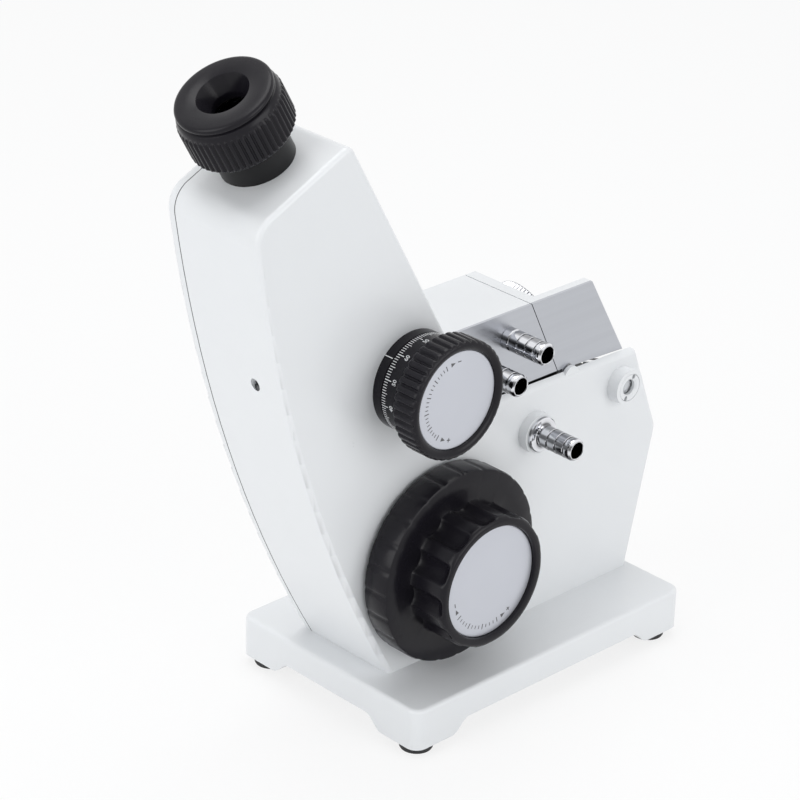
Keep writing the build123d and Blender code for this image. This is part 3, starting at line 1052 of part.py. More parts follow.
def write_all():
    """Move the model so that its outer box is centred over the origin, and write one file a node."""
    boxes = [shape.bounding_box() for shape in nodes.values()]
    low = [min(getattr(box.min, axis) for box in boxes) for axis in "XYZ"]
    high = [max(getattr(box.max, axis) for box in boxes) for axis in "XYZ"]
    home = Pos(-(low[0] + high[0]) / 2, -(low[1] + high[1]) / 2, -low[2])
    print("outer box", [round(b - a, 2) for a, b in zip(low, high)], "moved by", home.position)
    os.makedirs("parts", exist_ok=True)
    for name, shape in nodes.items():
        export_step(home * shape, f"parts/{name}.step")


build_all()
write_all()
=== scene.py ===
# %% [markdown]
# # Dressing a bench refractometer
# The solids of the instrument come in as a fixed frame. Everything here is looks: the camera and
# light, the finishes, and the small surface details that are too fine for the solids.

# %% Start from the solids
import json
import math

import bmesh
import bpy
from mathutils import Matrix, Vector

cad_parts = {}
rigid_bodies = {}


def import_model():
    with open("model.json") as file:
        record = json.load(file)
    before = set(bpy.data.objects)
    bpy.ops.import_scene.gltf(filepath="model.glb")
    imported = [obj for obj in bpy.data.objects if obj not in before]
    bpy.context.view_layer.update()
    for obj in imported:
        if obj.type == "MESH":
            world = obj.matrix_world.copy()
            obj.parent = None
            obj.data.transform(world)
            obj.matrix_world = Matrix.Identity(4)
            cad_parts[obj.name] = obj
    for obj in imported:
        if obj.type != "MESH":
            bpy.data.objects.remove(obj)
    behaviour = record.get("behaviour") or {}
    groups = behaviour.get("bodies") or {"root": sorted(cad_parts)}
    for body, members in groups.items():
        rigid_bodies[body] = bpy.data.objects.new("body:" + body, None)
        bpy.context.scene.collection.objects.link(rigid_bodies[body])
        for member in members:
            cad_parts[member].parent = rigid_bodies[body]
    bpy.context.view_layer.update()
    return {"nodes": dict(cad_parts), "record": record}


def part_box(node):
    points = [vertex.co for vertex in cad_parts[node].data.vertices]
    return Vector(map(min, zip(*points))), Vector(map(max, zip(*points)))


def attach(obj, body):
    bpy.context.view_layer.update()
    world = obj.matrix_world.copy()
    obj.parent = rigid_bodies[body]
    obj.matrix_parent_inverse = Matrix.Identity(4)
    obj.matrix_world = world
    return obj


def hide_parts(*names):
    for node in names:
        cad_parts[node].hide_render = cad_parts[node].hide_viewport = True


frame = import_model()

# %% [markdown]
# Measurements of the instrument are easiest to read from the middle of its base, in millimetres.
# The base casting tells where that middle is, so every later place is given from there.

# %% A ruler that starts at the middle of the base
MM = 0.001
box_low, box_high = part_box("base_casting")
MIDDLE = Vector(((box_low.x + box_high.x) / 2, (box_low.y + box_high.y) / 2, 0))


def at(x, y, z):
    """A point given in millimetres from the middle of the base, on the bench."""
    return Vector((x, y, z)) * MM + MIDDLE


print("middle of the base", [round(c * 1000, 2) for c in MIDDLE])

# %% [markdown]
# ## The camera
# The picture was taken with a long lens from the eyepiece side, looking down on the knobs. A long
# lens keeps the edges nearly parallel, which is what makes a small instrument look calm.

# %% Place the camera
YAW, PITCH, ROLL = math.radians(44.36), math.radians(25.86), 0.03
LENS, SENSOR = 142.47, 36.0
look = Vector((math.sin(YAW) * math.cos(PITCH), math.cos(YAW) * math.cos(PITCH), -math.sin(PITCH)))
right = Vector((math.cos(YAW), -math.sin(YAW), 0))
up = right.cross(look)
tilted_right = right * math.cos(ROLL) + up * math.sin(ROLL)
tilted_up = up * math.cos(ROLL) - right * math.sin(ROLL)
camera_data = bpy.data.cameras.new("photo_camera")
camera_data.lens = LENS
camera_data.sensor_width = SENSOR
camera_data.sensor_fit = "HORIZONTAL"
camera_data.clip_end = 20
camera = bpy.data.objects.new("photo_camera", camera_data)
bpy.context.scene.collection.objects.link(camera)
turn = Matrix((tilted_right, tilted_up, -look)).transposed()
camera.matrix_world = Matrix.Translation(at(-688.1, -669.4, 560.5)) @ turn.to_4x4()
bpy.context.scene.camera = camera
print("camera", [round(c, 3) for c in camera.location])

# %% [markdown]
# ## Light and floor
# A product like this is lit by large soft lamps on a white sweep. The lamps stay at a plain level,
# and the white of the background comes from the floor and the world as the camera sees them.

# %% Helpers for shader maths
def math_node(tree, operation, first, second=None, clamp=False):
    """A maths node whose two inputs are sockets or plain numbers."""
    node = tree.nodes.new("ShaderNodeMath")
    node.operation = operation
    node.use_clamp = clamp
    for index, value in enumerate((first, second)):
        if value is None:
            continue
        if isinstance(value, (int, float)):
            node.inputs[index].default_value = value
        else:
            tree.links.new(value, node.inputs[index])
    return node.outputs[0]


def seen_share(tree, share=1.0):
    """A value that is the given share for rays from the camera, mirrors and glass, else nothing."""
    rays = tree.nodes.new("ShaderNodeLightPath")
    direct = math_node(tree, "MAXIMUM", rays.outputs["Is Camera Ray"], rays.outputs["Is Glossy Ray"])
    seen = math_node(tree, "MAXIMUM", direct, rays.outputs["Is Transmission Ray"])
    return math_node(tree, "MULTIPLY", seen, share)


print("helpers: math_node, seen_share")

# %% White surroundings
world = bpy.data.worlds.new("studio")
bpy.context.scene.world = world
world.use_nodes = True
sky = world.node_tree
sky.nodes.clear()
lighting = sky.nodes.new("ShaderNodeBackground")
lighting.inputs["Color"].default_value = (0.96, 0.98, 1.0, 1)
lighting.inputs["Strength"].default_value = 0.5
shown = sky.nodes.new("ShaderNodeBackground")
shown.inputs["Color"].default_value = (1, 1, 1, 1)
shown.inputs["Strength"].default_value = 1.0
choice = sky.nodes.new("ShaderNodeMixShader")
world_out = sky.nodes.new("ShaderNodeOutputWorld")
sky.links.new(seen_share(sky), choice.inputs["Fac"])
sky.links.new(lighting.outputs[0], choice.inputs[1])
sky.links.new(shown.outputs[0], choice.inputs[2])
sky.links.new(choice.outputs[0], world_out.inputs["Surface"])
print("world", world.name)

# %% Three soft boxes
heart = at(-10, 0, 100)


def soft_box(name, offset, size, watts):
    """A rectangular soft box, aimed at the middle of the instrument."""
    data = bpy.data.lights.new(name, "AREA")
    data.shape = "RECTANGLE"
    data.size, data.size_y = size
    data.energy = watts
    lamp = bpy.data.objects.new(name, data)
    bpy.context.scene.collection.objects.link(lamp)
    lamp.location = heart + Vector(offset)
    lamp.rotation_euler = (-Vector(offset)).to_track_quat("-Z", "Y").to_euler()


soft_box("left_soft_box", (-1.2, 0.1, 0.45), (0.9, 0.9), 5.5)
soft_box("front_soft_box", (0.25, -1.3, 0.35), (1.1, 0.8), 5.8)
soft_box("top_soft_box", (0.1, 0.2, 1.3), (1.0, 1.0), 8.5)

# %% A pale floor that keeps the shadow
bpy.ops.object.select_all(action="DESELECT")
bpy.ops.mesh.primitive_plane_add(size=6, location=(0, 0, 0))
floor = bpy.context.object
floor.name = "floor"
floor_paint = bpy.data.materials.new("floor_paper")
floor_paint.use_nodes = True
paper = floor_paint.node_tree
paper.nodes.clear()
matt = paper.nodes.new("ShaderNodeBsdfDiffuse")
matt.inputs["Color"].default_value = (0.9, 0.9, 0.9, 1)
glow = paper.nodes.new("ShaderNodeEmission")
glow.inputs["Color"].default_value = (1, 1, 1, 1)
glow.inputs["Strength"].default_value = 1.0
paper_mix = paper.nodes.new("ShaderNodeMixShader")
paper_out = paper.nodes.new("ShaderNodeOutputMaterial")
paper.links.new(seen_share(paper, 0.8), paper_mix.inputs["Fac"])
paper.links.new(matt.outputs[0], paper_mix.inputs[1])
paper.links.new(glow.outputs[0], paper_mix.inputs[2])
paper.links.new(paper_mix.outputs[0], paper_out.inputs["Surface"])
floor.data.materials.append(floor_paint)
bpy.context.scene.view_settings.view_transform = "Standard"
print("floor", floor.name)

# %% [markdown]
# ## Shared surface effects
# Real finishes are never perfectly even. Three small groups give every material its variation: a
# fine grain for paint and moulded plastic, long brush lines for worked metal, and a thin settling
# of dust and handling marks. Each puts out values only, so the shader stays in its own material.

# %% Helper for shader groups
def effect_group(name, inputs, outputs):
    """An empty shader group with named value sockets, and its two end nodes."""
    group = bpy.data.node_groups.new(name, "ShaderNodeTree")
    for label, value in inputs:
        socket = group.interface.new_socket(label, in_out="INPUT", socket_type="NodeSocketFloat")
        socket.default_value = value
    for label in outputs:
        group.interface.new_socket(label, in_out="OUTPUT", socket_type="NodeSocketFloat")
    return group, group.nodes.new("NodeGroupInput"), group.nodes.new("NodeGroupOutput")


print("helper: effect_group")

# %% Grain of paint and plastic
grain, grain_in, grain_out = effect_group("fine_grain", [("Scale", 900.0), ("Mottle Scale", 60.0)],
                                          ["Grain", "Mottle"])
place = grain.nodes.new("ShaderNodeTexCoord")
speck = grain.nodes.new("ShaderNodeTexNoise")
speck.inputs["Detail"].default_value = 3.0
cloud = grain.nodes.new("ShaderNodeTexNoise")
cloud.inputs["Detail"].default_value = 2.0
grain.links.new(place.outputs["Object"], speck.inputs["Vector"])
grain.links.new(place.outputs["Object"], cloud.inputs["Vector"])
grain.links.new(grain_in.outputs["Scale"], speck.inputs["Scale"])
grain.links.new(grain_in.outputs["Mottle Scale"], cloud.inputs["Scale"])
grain.links.new(speck.outputs["Fac"], grain_out.inputs["Grain"])
grain.links.new(cloud.outputs["Fac"], grain_out.inputs["Mottle"])
print("group", grain.name)

# %% Brush lines of worked metal
brushed, brushed_in, brushed_out = effect_group(
    "brush_lines", [("Lines X", 40.0), ("Lines Y", 900.0), ("Lines Z", 900.0)], ["Lines", "Streaks"])
place = brushed.nodes.new("ShaderNodeTexCoord")
split = brushed.nodes.new("ShaderNodeSeparateXYZ")
join = brushed.nodes.new("ShaderNodeCombineXYZ")
brushed.links.new(place.outputs["Object"], split.inputs[0])
for index, axis in enumerate("XYZ"):
    scaled = math_node(brushed, "MULTIPLY", split.outputs[index], brushed_in.outputs[f"Lines {axis}"])
    brushed.links.new(scaled, join.inputs[index])
fine = brushed.nodes.new("ShaderNodeTexNoise")
fine.inputs["Scale"].default_value = 1.0
fine.inputs["Detail"].default_value = 4.0
wide = brushed.nodes.new("ShaderNodeTexNoise")
wide.inputs["Scale"].default_value = 0.16
wide.inputs["Detail"].default_value = 2.0
brushed.links.new(join.outputs[0], fine.inputs["Vector"])
brushed.links.new(join.outputs[0], wide.inputs["Vector"])
brushed.links.new(fine.outputs["Fac"], brushed_out.inputs["Lines"])
brushed.links.new(wide.outputs["Fac"], brushed_out.inputs["Streaks"])
print("group", brushed.name)

# %% Dust and handling marks
dust, dust_in, dust_out = effect_group("settled_dust", [("Amount", 0.3), ("Scale", 220.0)],
                                       ["Dust", "Smudge"])
place = dust.nodes.new("ShaderNodeTexCoord")
facing = dust.nodes.new("ShaderNodeNewGeometry")
height = dust.nodes.new("ShaderNodeSeparateXYZ")
patch = dust.nodes.new("ShaderNodeTexNoise")
patch.inputs["Detail"].default_value = 5.0
touch = dust.nodes.new("ShaderNodeTexNoise")
touch.inputs["Scale"].default_value = 28.0
touch.inputs["Detail"].default_value = 3.0
dust.links.new(facing.outputs["Normal"], height.inputs[0])
dust.links.new(place.outputs["Object"], patch.inputs["Vector"])
dust.links.new(place.outputs["Object"], touch.inputs["Vector"])
dust.links.new(dust_in.outputs["Scale"], patch.inputs["Scale"])
upward = math_node(dust, "MULTIPLY", math_node(dust, "SUBTRACT", height.outputs[2], 0.25, True), 1.33)
patchy = math_node(dust, "MULTIPLY", upward, patch.outputs["Fac"])
settled = math_node(dust, "MULTIPLY", patchy, dust_in.outputs["Amount"], True)
dust.links.new(settled, dust_out.inputs["Dust"])
smudged = math_node(dust, "SUBTRACT", touch.outputs["Fac"], 0.5, True)
dust.links.new(math_node(dust, "MULTIPLY", smudged, 4.0, True), dust_out.inputs["Smudge"])
print("group", dust.name)

# %% [markdown]
# ## Finishes
# One recipe serves them all: a base colour that drifts a little, a roughness that the grain and
# smudges move up and down, and a small bump. Each finish then gets its own numbers.

# %% Helpers for colour
def mixed(tree, factor, first, second, blend="MIX"):
    """A colour mix whose factor and colours are sockets or plain values."""
    node = tree.nodes.new("ShaderNodeMix")
    node.data_type, node.blend_type = "RGBA", blend
    for label, value in (("Factor", factor), ("A", first), ("B", second)):
        if isinstance(value, bpy.types.NodeSocket):
            tree.links.new(value, node.inputs[label])
        else:
            node.inputs[label].default_value = value
    return node.outputs["Result"]


def room_bands(tree, color, bands):
    """Painted reflection: shade a colour by how far the surface faces up, as plating mirrors a dark
    room.
    """
    facing = tree.nodes.new("ShaderNodeNewGeometry")
    way = tree.nodes.new("ShaderNodeSeparateXYZ")
    tree.links.new(facing.outputs["Normal"], way.inputs[0])
    up_share = math_node(tree, "ADD", math_node(tree, "MULTIPLY", way.outputs[2], 0.5), 0.5, True)
    room = tree.nodes.new("ShaderNodeValToRGB")
    while len(room.color_ramp.elements) < len(bands):
        room.color_ramp.elements.new(0.5)
    for stop, (place, shade) in zip(room.color_ramp.elements, bands):
        stop.position = place
        stop.color = (shade, shade, shade * 1.03, 1)
    tree.links.new(up_share, room.inputs[0])
    return mixed(tree, 1.0, color, room.outputs["Color"], "MULTIPLY")


print("helpers: mixed, room_bands")

# %% One recipe for a finish
DUST_COLOR = (0.62, 0.61, 0.6, 1)


def finish(name, color, rough, metal=0.0, drift=0.04, rough_drift=0.06, bump=0.0, lines=None,
           grain_scale=900.0, dusty=0.0, bands=None, **sockets):
    """A material from the shared effects; lines gives the brush direction as three scales, and
    bands lists (how far the surface faces up, shade) for a painted reflection of a dark room in
    plating."""
    material = bpy.data.materials.new(name)
    material.use_nodes = True
    tree = material.node_tree
    shader = tree.nodes["Principled BSDF"]
    shader.inputs["Metallic"].default_value = metal
    for label, value in sockets.items():
        shader.inputs[label.replace("_", " ")].default_value = value
    effect = tree.nodes.new("ShaderNodeGroup")
    if lines:
        effect.node_tree = brushed
        for axis, value in zip("XYZ", lines):
            effect.inputs[f"Lines {axis}"].default_value = value
        fine_value, broad_value = effect.outputs["Lines"], effect.outputs["Streaks"]
    else:
        effect.node_tree = grain
        effect.inputs["Scale"].default_value = grain_scale
        fine_value, broad_value = effect.outputs["Grain"], effect.outputs["Mottle"]
    marks = tree.nodes.new("ShaderNodeGroup")
    marks.node_tree = dust
    marks.inputs["Amount"].default_value = dusty

    darker = (*[c * (1 - drift) for c in color], 1)
    lighter = (*[min(1.0, c * (1 + drift)) for c in color], 1)
    shown = mixed(tree, marks.outputs["Dust"], mixed(tree, broad_value, darker, lighter), DUST_COLOR)
    # Where bands are given, a painted reflection darkens the colour by which way the surface faces.
    if bands:
        shown = room_bands(tree, shown, bands)
    tree.links.new(shown, shader.inputs["Base Color"])

    wander = math_node(tree, "MULTIPLY", math_node(tree, "SUBTRACT", fine_value, 0.5), rough_drift * 2)
    rubbed = math_node(tree, "MULTIPLY", marks.outputs["Smudge"], -rough_drift)
    level = math_node(tree, "ADD", math_node(tree, "ADD", wander, rubbed), rough, True)
    tree.links.new(level, shader.inputs["Roughness"])
    if bump:
        relief = tree.nodes.new("ShaderNodeBump")
        relief.inputs["Strength"].default_value = 1.0
        relief.inputs["Distance"].default_value = bump
        tree.links.new(fine_value, relief.inputs["Height"])
        tree.links.new(relief.outputs["Normal"], shader.inputs["Normal"])
    return material


print("recipe: finish")

# %% The finishes of this instrument
# Painted reflection: the chrome's colour is darkened in bands by which way its surface faces, standing
# in for a dark room mirrored in the plating.
CHROME_PAINTED_REFLECTION = [(0.0, 0.35), (0.12, 0.75), (0.24, 0.12), (0.36, 0.2), (0.44, 0.8), (0.5, 0.92),
                (0.57, 0.85), (0.64, 0.16), (0.76, 0.22), (0.82, 0.95), (0.93, 0.95), (0.98, 0.4)]
finishes = {
    "white_enamel": finish("white_enamel", (0.80, 0.815, 0.83), 0.34, drift=0.012, rough_drift=0.05,
                           bump=0.00002, grain_scale=1400, dusty=0.05, Coat_Weight=0.25,
                           Coat_Roughness=0.2),
    "black_plastic": finish("black_plastic", (0.0088, 0.008, 0.0112), 0.24, drift=0.15,
                            bump=0.00002, grain_scale=2200, dusty=0.012, Specular_IOR_Level=0.19),
    "black_anodised": finish("black_anodised", (0.012, 0.012, 0.013), 0.36, drift=0.1,
                             bump=0.00001, grain_scale=2600, Specular_IOR_Level=0.22),
    "silver_disc": finish("silver_disc", (0.565, 0.58, 0.63), 0.36, metal=0.55, drift=0.02,
                          rough_drift=0.05, bump=0.00001, grain_scale=2600),
    "chrome_plate": finish("chrome_plate", (0.82, 0.83, 0.84), 0.07, metal=1.0, drift=0.02,
                           rough_drift=0.03, bands=CHROME_PAINTED_REFLECTION),
    "brushed_steel": finish("brushed_steel", (0.50, 0.515, 0.55), 0.34, metal=1.0, drift=0.06,
                            rough_drift=0.10, bump=0.00001, lines=(60, 400, 2600)),
    "bright_steel": finish("bright_steel", (0.56, 0.56, 0.57), 0.28, metal=1.0, drift=0.06,
                           lines=(1800, 200, 1800)),
    "gear_brass": finish("gear_brass", (0.70, 0.50, 0.20), 0.3, metal=1.0, drift=0.08,
                         lines=(1800, 200, 1800)),
    "foot_rubber": finish("foot_rubber", (0.018, 0.018, 0.019), 0.72, drift=0.2, bump=0.00006,
                          grain_scale=1600, dusty=0.1),
    "optical_glass": finish("optical_glass", (0.97, 0.985, 0.99), 0.03, drift=0.005, rough_drift=0.02,
                            Transmission_Weight=1.0, IOR=1.52),
    "mirror_glass": finish("mirror_glass", (0.86, 0.87, 0.88), 0.03, metal=1.0, drift=0.01,
                           rough_drift=0.02),
}
# Painted sheen: the condenser lens gets a pale colour and only partial transmission, so it shows bright
# as if it reflected the room.
painted_sheen_lens = finish("painted_sheen_lens", (0.90, 0.925, 0.95), 0.05, drift=0.01, rough_drift=0.02,
                     Transmission_Weight=0.45, IOR=1.6)
white_filling = finish("white_filling", (0.78, 0.79, 0.80), 0.5, drift=0.05, bump=0.00001)
dark_print = finish("dark_print", (0.10, 0.10, 0.105), 0.5, drift=0.1)
print("finishes", sorted(finishes), "and", painted_sheen_lens.name, white_filling.name, dark_print.name)

# %% Finish every solid by its slot
slot_of = {entry["node"]: entry["material_slot"] for entry in frame["record"]["subparts"]}
for node, thing in frame["nodes"].items():
    for slot in thing.material_slots:
        slot.material = painted_sheen_lens if node == "condenser_lens" else finishes[slot_of[node]]
print("finished", len(slot_of), "solids")

# %% [markdown]
# ## Tools of the bench
# Operators act on whatever is selected, so each tool first selects just its own object. A finished
# piece has its place inside its mesh, as the solids have, so that it rides and exports as they do.

# %% Helpers for picking, copying and joining objects
def alone(thing):
    """Make one object the only selected and active one."""
    bpy.ops.object.select_all(action="DESELECT")
    thing.select_set(True)
    bpy.context.view_layer.objects.active = thing


def settle(thing):
    """Put an object's place, turn and size into its mesh."""
    alone(thing)
    bpy.ops.object.transform_apply(location=True, rotation=True, scale=True)


def joined(things, name):
    """Join several objects into one piece."""
    bpy.ops.object.select_all(action="DESELECT")
    for thing in things:
        thing.select_set(True)
    bpy.context.view_layer.objects.active = things[0]
    bpy.ops.object.join()
    piece = bpy.context.object
    piece.name = piece.data.name = name
    return piece


def placed_copy(model, matrix):
    """A copy with its own mesh, put in place."""
    copy = model.copy()
    copy.data = model.data.copy()
    bpy.context.scene.collection.objects.link(copy)
    copy.matrix_world = matrix
    return copy


def dressed(piece, material, body):
    """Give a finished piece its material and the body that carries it."""
    piece.data.materials.clear()
    piece.data.materials.append(material)
    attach(piece, body)
    print(piece.name, "faces", len(piece.data.polygons))


print("helpers: alone, settle, joined, placed_copy, dressed")

# %% [markdown]
# ## Turned pieces
# Knobs, caps and nozzles come off a lathe, or out of moulds that were. In Blender that is a profile
# spun about its axis. A single point is extruded from corner to corner of half a section, the chain
# is spun a full turn, and the seam is merged. Ribs and flutes are then pressed into the skin by
# scaling chosen points of a ring towards the axis, so that each piece stays one closed shell.

# %% Helpers to draw a section and to turn it
SAME_POINT = 0.002


def drawn_chain(name, corners, y=0.0):
    """A single point drawn out into a chain in the xz plane, left selected in edit mode; corners
    lists (x, z) places and y is the plane's own place, all in millimetres."""
    bpy.ops.object.select_all(action="DESELECT")
    bpy.ops.mesh.primitive_plane_add(size=0.001)
    piece = bpy.context.object
    piece.name = piece.data.name = name
    bpy.ops.object.mode_set(mode="EDIT")
    bpy.ops.mesh.select_mode(type="VERT")
    bpy.ops.mesh.select_all(action="SELECT")
    bpy.ops.mesh.merge(type="CENTER")
    last_x, last_z = corners[0]
    bpy.ops.transform.translate(value=(last_x * MM, y * MM, last_z * MM))
    for x, z in corners[1:]:
        step = ((x - last_x) * MM, 0, (z - last_z) * MM)
        bpy.ops.mesh.extrude_region_move(TRANSFORM_OT_translate={"value": step})
        last_x, last_z = x, z
    bpy.ops.mesh.select_all(action="SELECT")
    return piece


def turned(name, profile, steps):
    """A lathe piece about its own z; profile lists (radius, height) corners in millimetres."""
    piece = drawn_chain(name, profile)
    bpy.ops.mesh.spin(steps=steps, angle=2 * math.pi, center=(0, 0, 0), axis=(0, 0, 1))
    bpy.ops.mesh.select_all(action="SELECT")
    bpy.ops.mesh.remove_doubles(threshold=SAME_POINT * MM)
    bpy.ops.mesh.normals_make_consistent(inside=False)
    bpy.ops.object.mode_set(mode="OBJECT")
    bpy.ops.object.shade_smooth_by_angle(angle=math.radians(30))
    return piece


print("helpers: drawn_chain, turned")

# %% Helpers to press grooves
SAME_ROW = 0.01


def edit_points(thing, test):
    """In edit mode, select just the points whose place passes a test."""
    shape = bmesh.from_edit_mesh(thing.data)
    for vertex in shape.verts:
        vertex.select_set(test(vertex.co))
    shape.select_flush(False)
    bmesh.update_edit_mesh(thing.data)


def press(piece, count, shares, rows, phase=0.0):
    """Press grooves into a turned piece: each row is (radius, height, depth) in millimetres, and
    shares gives the part of that depth for each point from one groove to the next."""
    alone(piece)
    bpy.ops.object.mode_set(mode="EDIT")
    bpy.ops.mesh.select_mode(type="VERT")
    per = len(shares)
    pitch = 2 * math.pi / (count * per)
    for radius, height, depth in rows:
        for level in sorted(set(shares)):
            if level <= 0:
                continue

            def in_groove(co):
                off_height = abs(co.z - height * MM)
                off_radius = abs(math.hypot(co.x, co.y) - radius * MM)
                if max(off_height, off_radius) > SAME_ROW * MM:
                    return False
                place = round((math.atan2(co.y, co.x) - phase) / pitch) % per
                return shares[place] == level

            edit_points(piece, in_groove)
            shrink = (radius - depth * level) / radius
            bpy.ops.transform.resize(value=(shrink, shrink, 1), center_override=(0, 0, 0))
    bpy.ops.object.mode_set(mode="OBJECT")


print("helpers: edit_points, press")

# %% Helpers to size and to place a piece
def grown(rows, share, bore, lift=1.0):
    """Rows of a section with the radii outside a bore made larger, and all heights stretched."""
    return [(row[0] * share if row[0] > bore else row[0], row[1] * lift, *row[2:]) for row in rows]


def stand_on(piece, origin, x_way, z_way):
    """Put a piece that was made about its own z onto an axis of the instrument."""
    z = Vector(z_way).normalized()
    x = Vector(x_way).normalized()
    turn = Matrix((x, z.cross(x), z)).transposed().to_4x4()
    piece.matrix_world = Matrix.Translation(origin) @ turn
    settle(piece)


print("helpers: grown, stand_on")

# %% Where the knobs and the tube point
TOWARDS_US = (0, -1, 0)
ALONG_X, ALONG_Y = (1, 0, 0), (0, 1, 0)
LEAN = math.radians(29.7)
UP_TUBE = (-math.sin(LEAN), 0, math.cos(LEAN))
KNOB_X, KNOB_BACK, KNOB_Z = -47.5, -23.3, 125.8
WHEEL_X, WHEEL_BACK, WHEEL_Z = -33.4, -20.3, 57.3
knob_seat, wheel_seat = at(KNOB_X, KNOB_BACK, KNOB_Z), at(WHEEL_X, WHEEL_BACK, WHEEL_Z)
print("knob axis", KNOB_X, KNOB_Z, "handwheel axis", WHEEL_X, WHEEL_Z)

# %% [markdown]
# ### Cast base
# The base is a heavy casting: a plate whose sides drop to a pad at each corner and rise between the
# pads in a soft arch. It could be pushed into shape point by point, but where two arched sides meet
# at a corner that leaves creases. So a block is bevelled at its corners and along its top edge, and
# the arches and the hollow underneath are cut out with bars that are drawn for the purpose.

# %% Helpers to draw a bar and to cut with it
def bar(name, corners, length):
    """A bar along y with a drawn end; corners lists (x, height) places in millimetres."""
    piece = drawn_chain(name, corners + corners[:1], -length / 2)
    bpy.ops.mesh.remove_doubles(threshold=SAME_POINT * MM)
    bpy.ops.mesh.edge_face_add()
    bpy.ops.mesh.extrude_region_move(TRANSFORM_OT_translate={"value": (0, length * MM, 0)})
    bpy.ops.mesh.select_all(action="SELECT")
    bpy.ops.mesh.normals_make_consistent(inside=False)
    bpy.ops.object.mode_set(mode="OBJECT")
    return piece


def cut_away(piece, cutter):
    """Take a cutter's shape out of a piece, and put the cutter away."""
    alone(piece)
    cut = piece.modifiers.new("cut", "BOOLEAN")
    cut.operation, cut.solver, cut.object = "DIFFERENCE", "EXACT", cutter
    bpy.ops.object.modifier_apply(modifier="cut")
    bpy.data.objects.remove(cutter)


def arch_bar(name, half, rise, length):
    """A bar whose top rises from the pads to the arch in an S; half is half the way between pads."""
    ways = [step / ARCH_STEPS for step in range(ARCH_STEPS + 1)]
    left = [(-half + ARCH_RUN * way, rise * (0.5 - 0.5 * math.cos(math.pi * way))) for way in ways]
    right = [(-x, h) for x, h in reversed(left)]
    return bar(name, [(-half, BELOW)] + left + right + [(half, BELOW)], length)


def bevel_edges(piece, test, offset, segments):
    """In edit mode, round the edges whose two ends pass a test."""
    bpy.ops.object.mode_set(mode="EDIT")
    bpy.ops.mesh.select_mode(type="EDGE")
    bpy.ops.mesh.select_all(action="DESELECT")
    shape = bmesh.from_edit_mesh(piece.data)
    for edge in shape.edges:
        edge.select_set(test(edge.verts[0].co, edge.verts[1].co))
    bmesh.update_edit_mesh(piece.data)
    bpy.ops.mesh.bevel(offset=offset * MM, segments=segments)
    bpy.ops.object.mode_set(mode="OBJECT")


print("helpers: bar, cut_away, arch_bar, bevel_edges")

# %% Sizes of the base
BASE_X, BASE_Y = (-64.05, 65.15), (-43.65, 43.75)
BASE_FOOT, BASE_TOP = 3.5, 18.6
PAD, WALL = 16.8, 4.0
ARCH_TOP, ARCH_RUN, ARCH_STEPS = 8.3, 7.5, 12
HOLLOW_TOP, HOLLOW_EDGE = 9.1, 1.5
BELOW, BEYOND = -6.0, 20
CORNER_RADIUS, EDGE_RADIUS = 4.4, 1.5
base_long, base_wide = BASE_X[1] - BASE_X[0], BASE_Y[1] - BASE_Y[0]
base_high = BASE_TOP - BASE_FOOT
print("base", round(base_long, 1), round(base_wide, 1), round(base_high, 1))

# %% Bevel the block
bpy.ops.object.select_all(action="DESELECT")
bpy.ops.mesh.primitive_cube_add(size=1)
base = bpy.context.object
base.name = base.data.name = "arched_base_casting"
base.scale = (base_long * MM, base_wide * MM, base_high * MM)
base.location = (0, 0, base_high / 2 * MM)
settle(base)


def upright(a, b):
    """An edge that runs down a corner of the block."""
    return abs(a.z - b.z) > base_high / 2 * MM


def on_top(a, b):
    """An edge of the block's top."""
    return min(a.z, b.z) > (base_high - SAME_ROW) * MM


bevel_edges(base, upright, CORNER_RADIUS, 10)
bevel_edges(base, on_top, EDGE_RADIUS, 5)
print("bevelled block", len(base.data.polygons), "faces")

# %% Cut the hollow and the arches
# The hollow is a cross, which leaves each corner solid over its pad. Its odd tenths keep the faces
# of all bars off one another's planes, where a cut would leave open edges.
room = 2 * PAD + 1.3
hollows = [(base_long - 2 * WALL, base_wide - room),
           (base_long - room - 1, base_wide - 2 * WALL - 0.4)]
shoulder = HOLLOW_TOP - HOLLOW_EDGE
for long_way, wide_way in hollows:
    half = long_way / 2
    roof = [(-half, shoulder), (HOLLOW_EDGE - half, HOLLOW_TOP), (half - HOLLOW_EDGE, HOLLOW_TOP),
            (half, shoulder)]
    cut_away(base, bar("hollow", [(-half, BELOW)] + roof + [(half, BELOW)], wide_way))
rise = ARCH_TOP - BASE_FOOT
cut_away(base, arch_bar("arch_long", base_long / 2 - PAD, rise, base_wide + BEYOND))
arch_short = arch_bar("arch_short", base_wide / 2 - PAD, rise, base_long + BEYOND)
arch_short.rotation_euler = (0, 0, math.pi / 2)
settle(arch_short)
cut_away(base, arch_short)
base.location = at(sum(BASE_X) / 2, sum(BASE_Y) / 2, BASE_FOOT)
settle(base)
bpy.ops.object.shade_smooth_by_angle(angle=math.radians(32))
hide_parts("base_casting")
dressed(base, finishes["white_enamel"], "stand")

# %% [markdown]
# ### Rubber feet
# A soft foot stands under each pad. It is moulded: a little wider where it meets the casting, with a
# rounded rim that the instrument's weight rests on, and a dimple for its screw. One foot is turned
# and copied to the four corners.

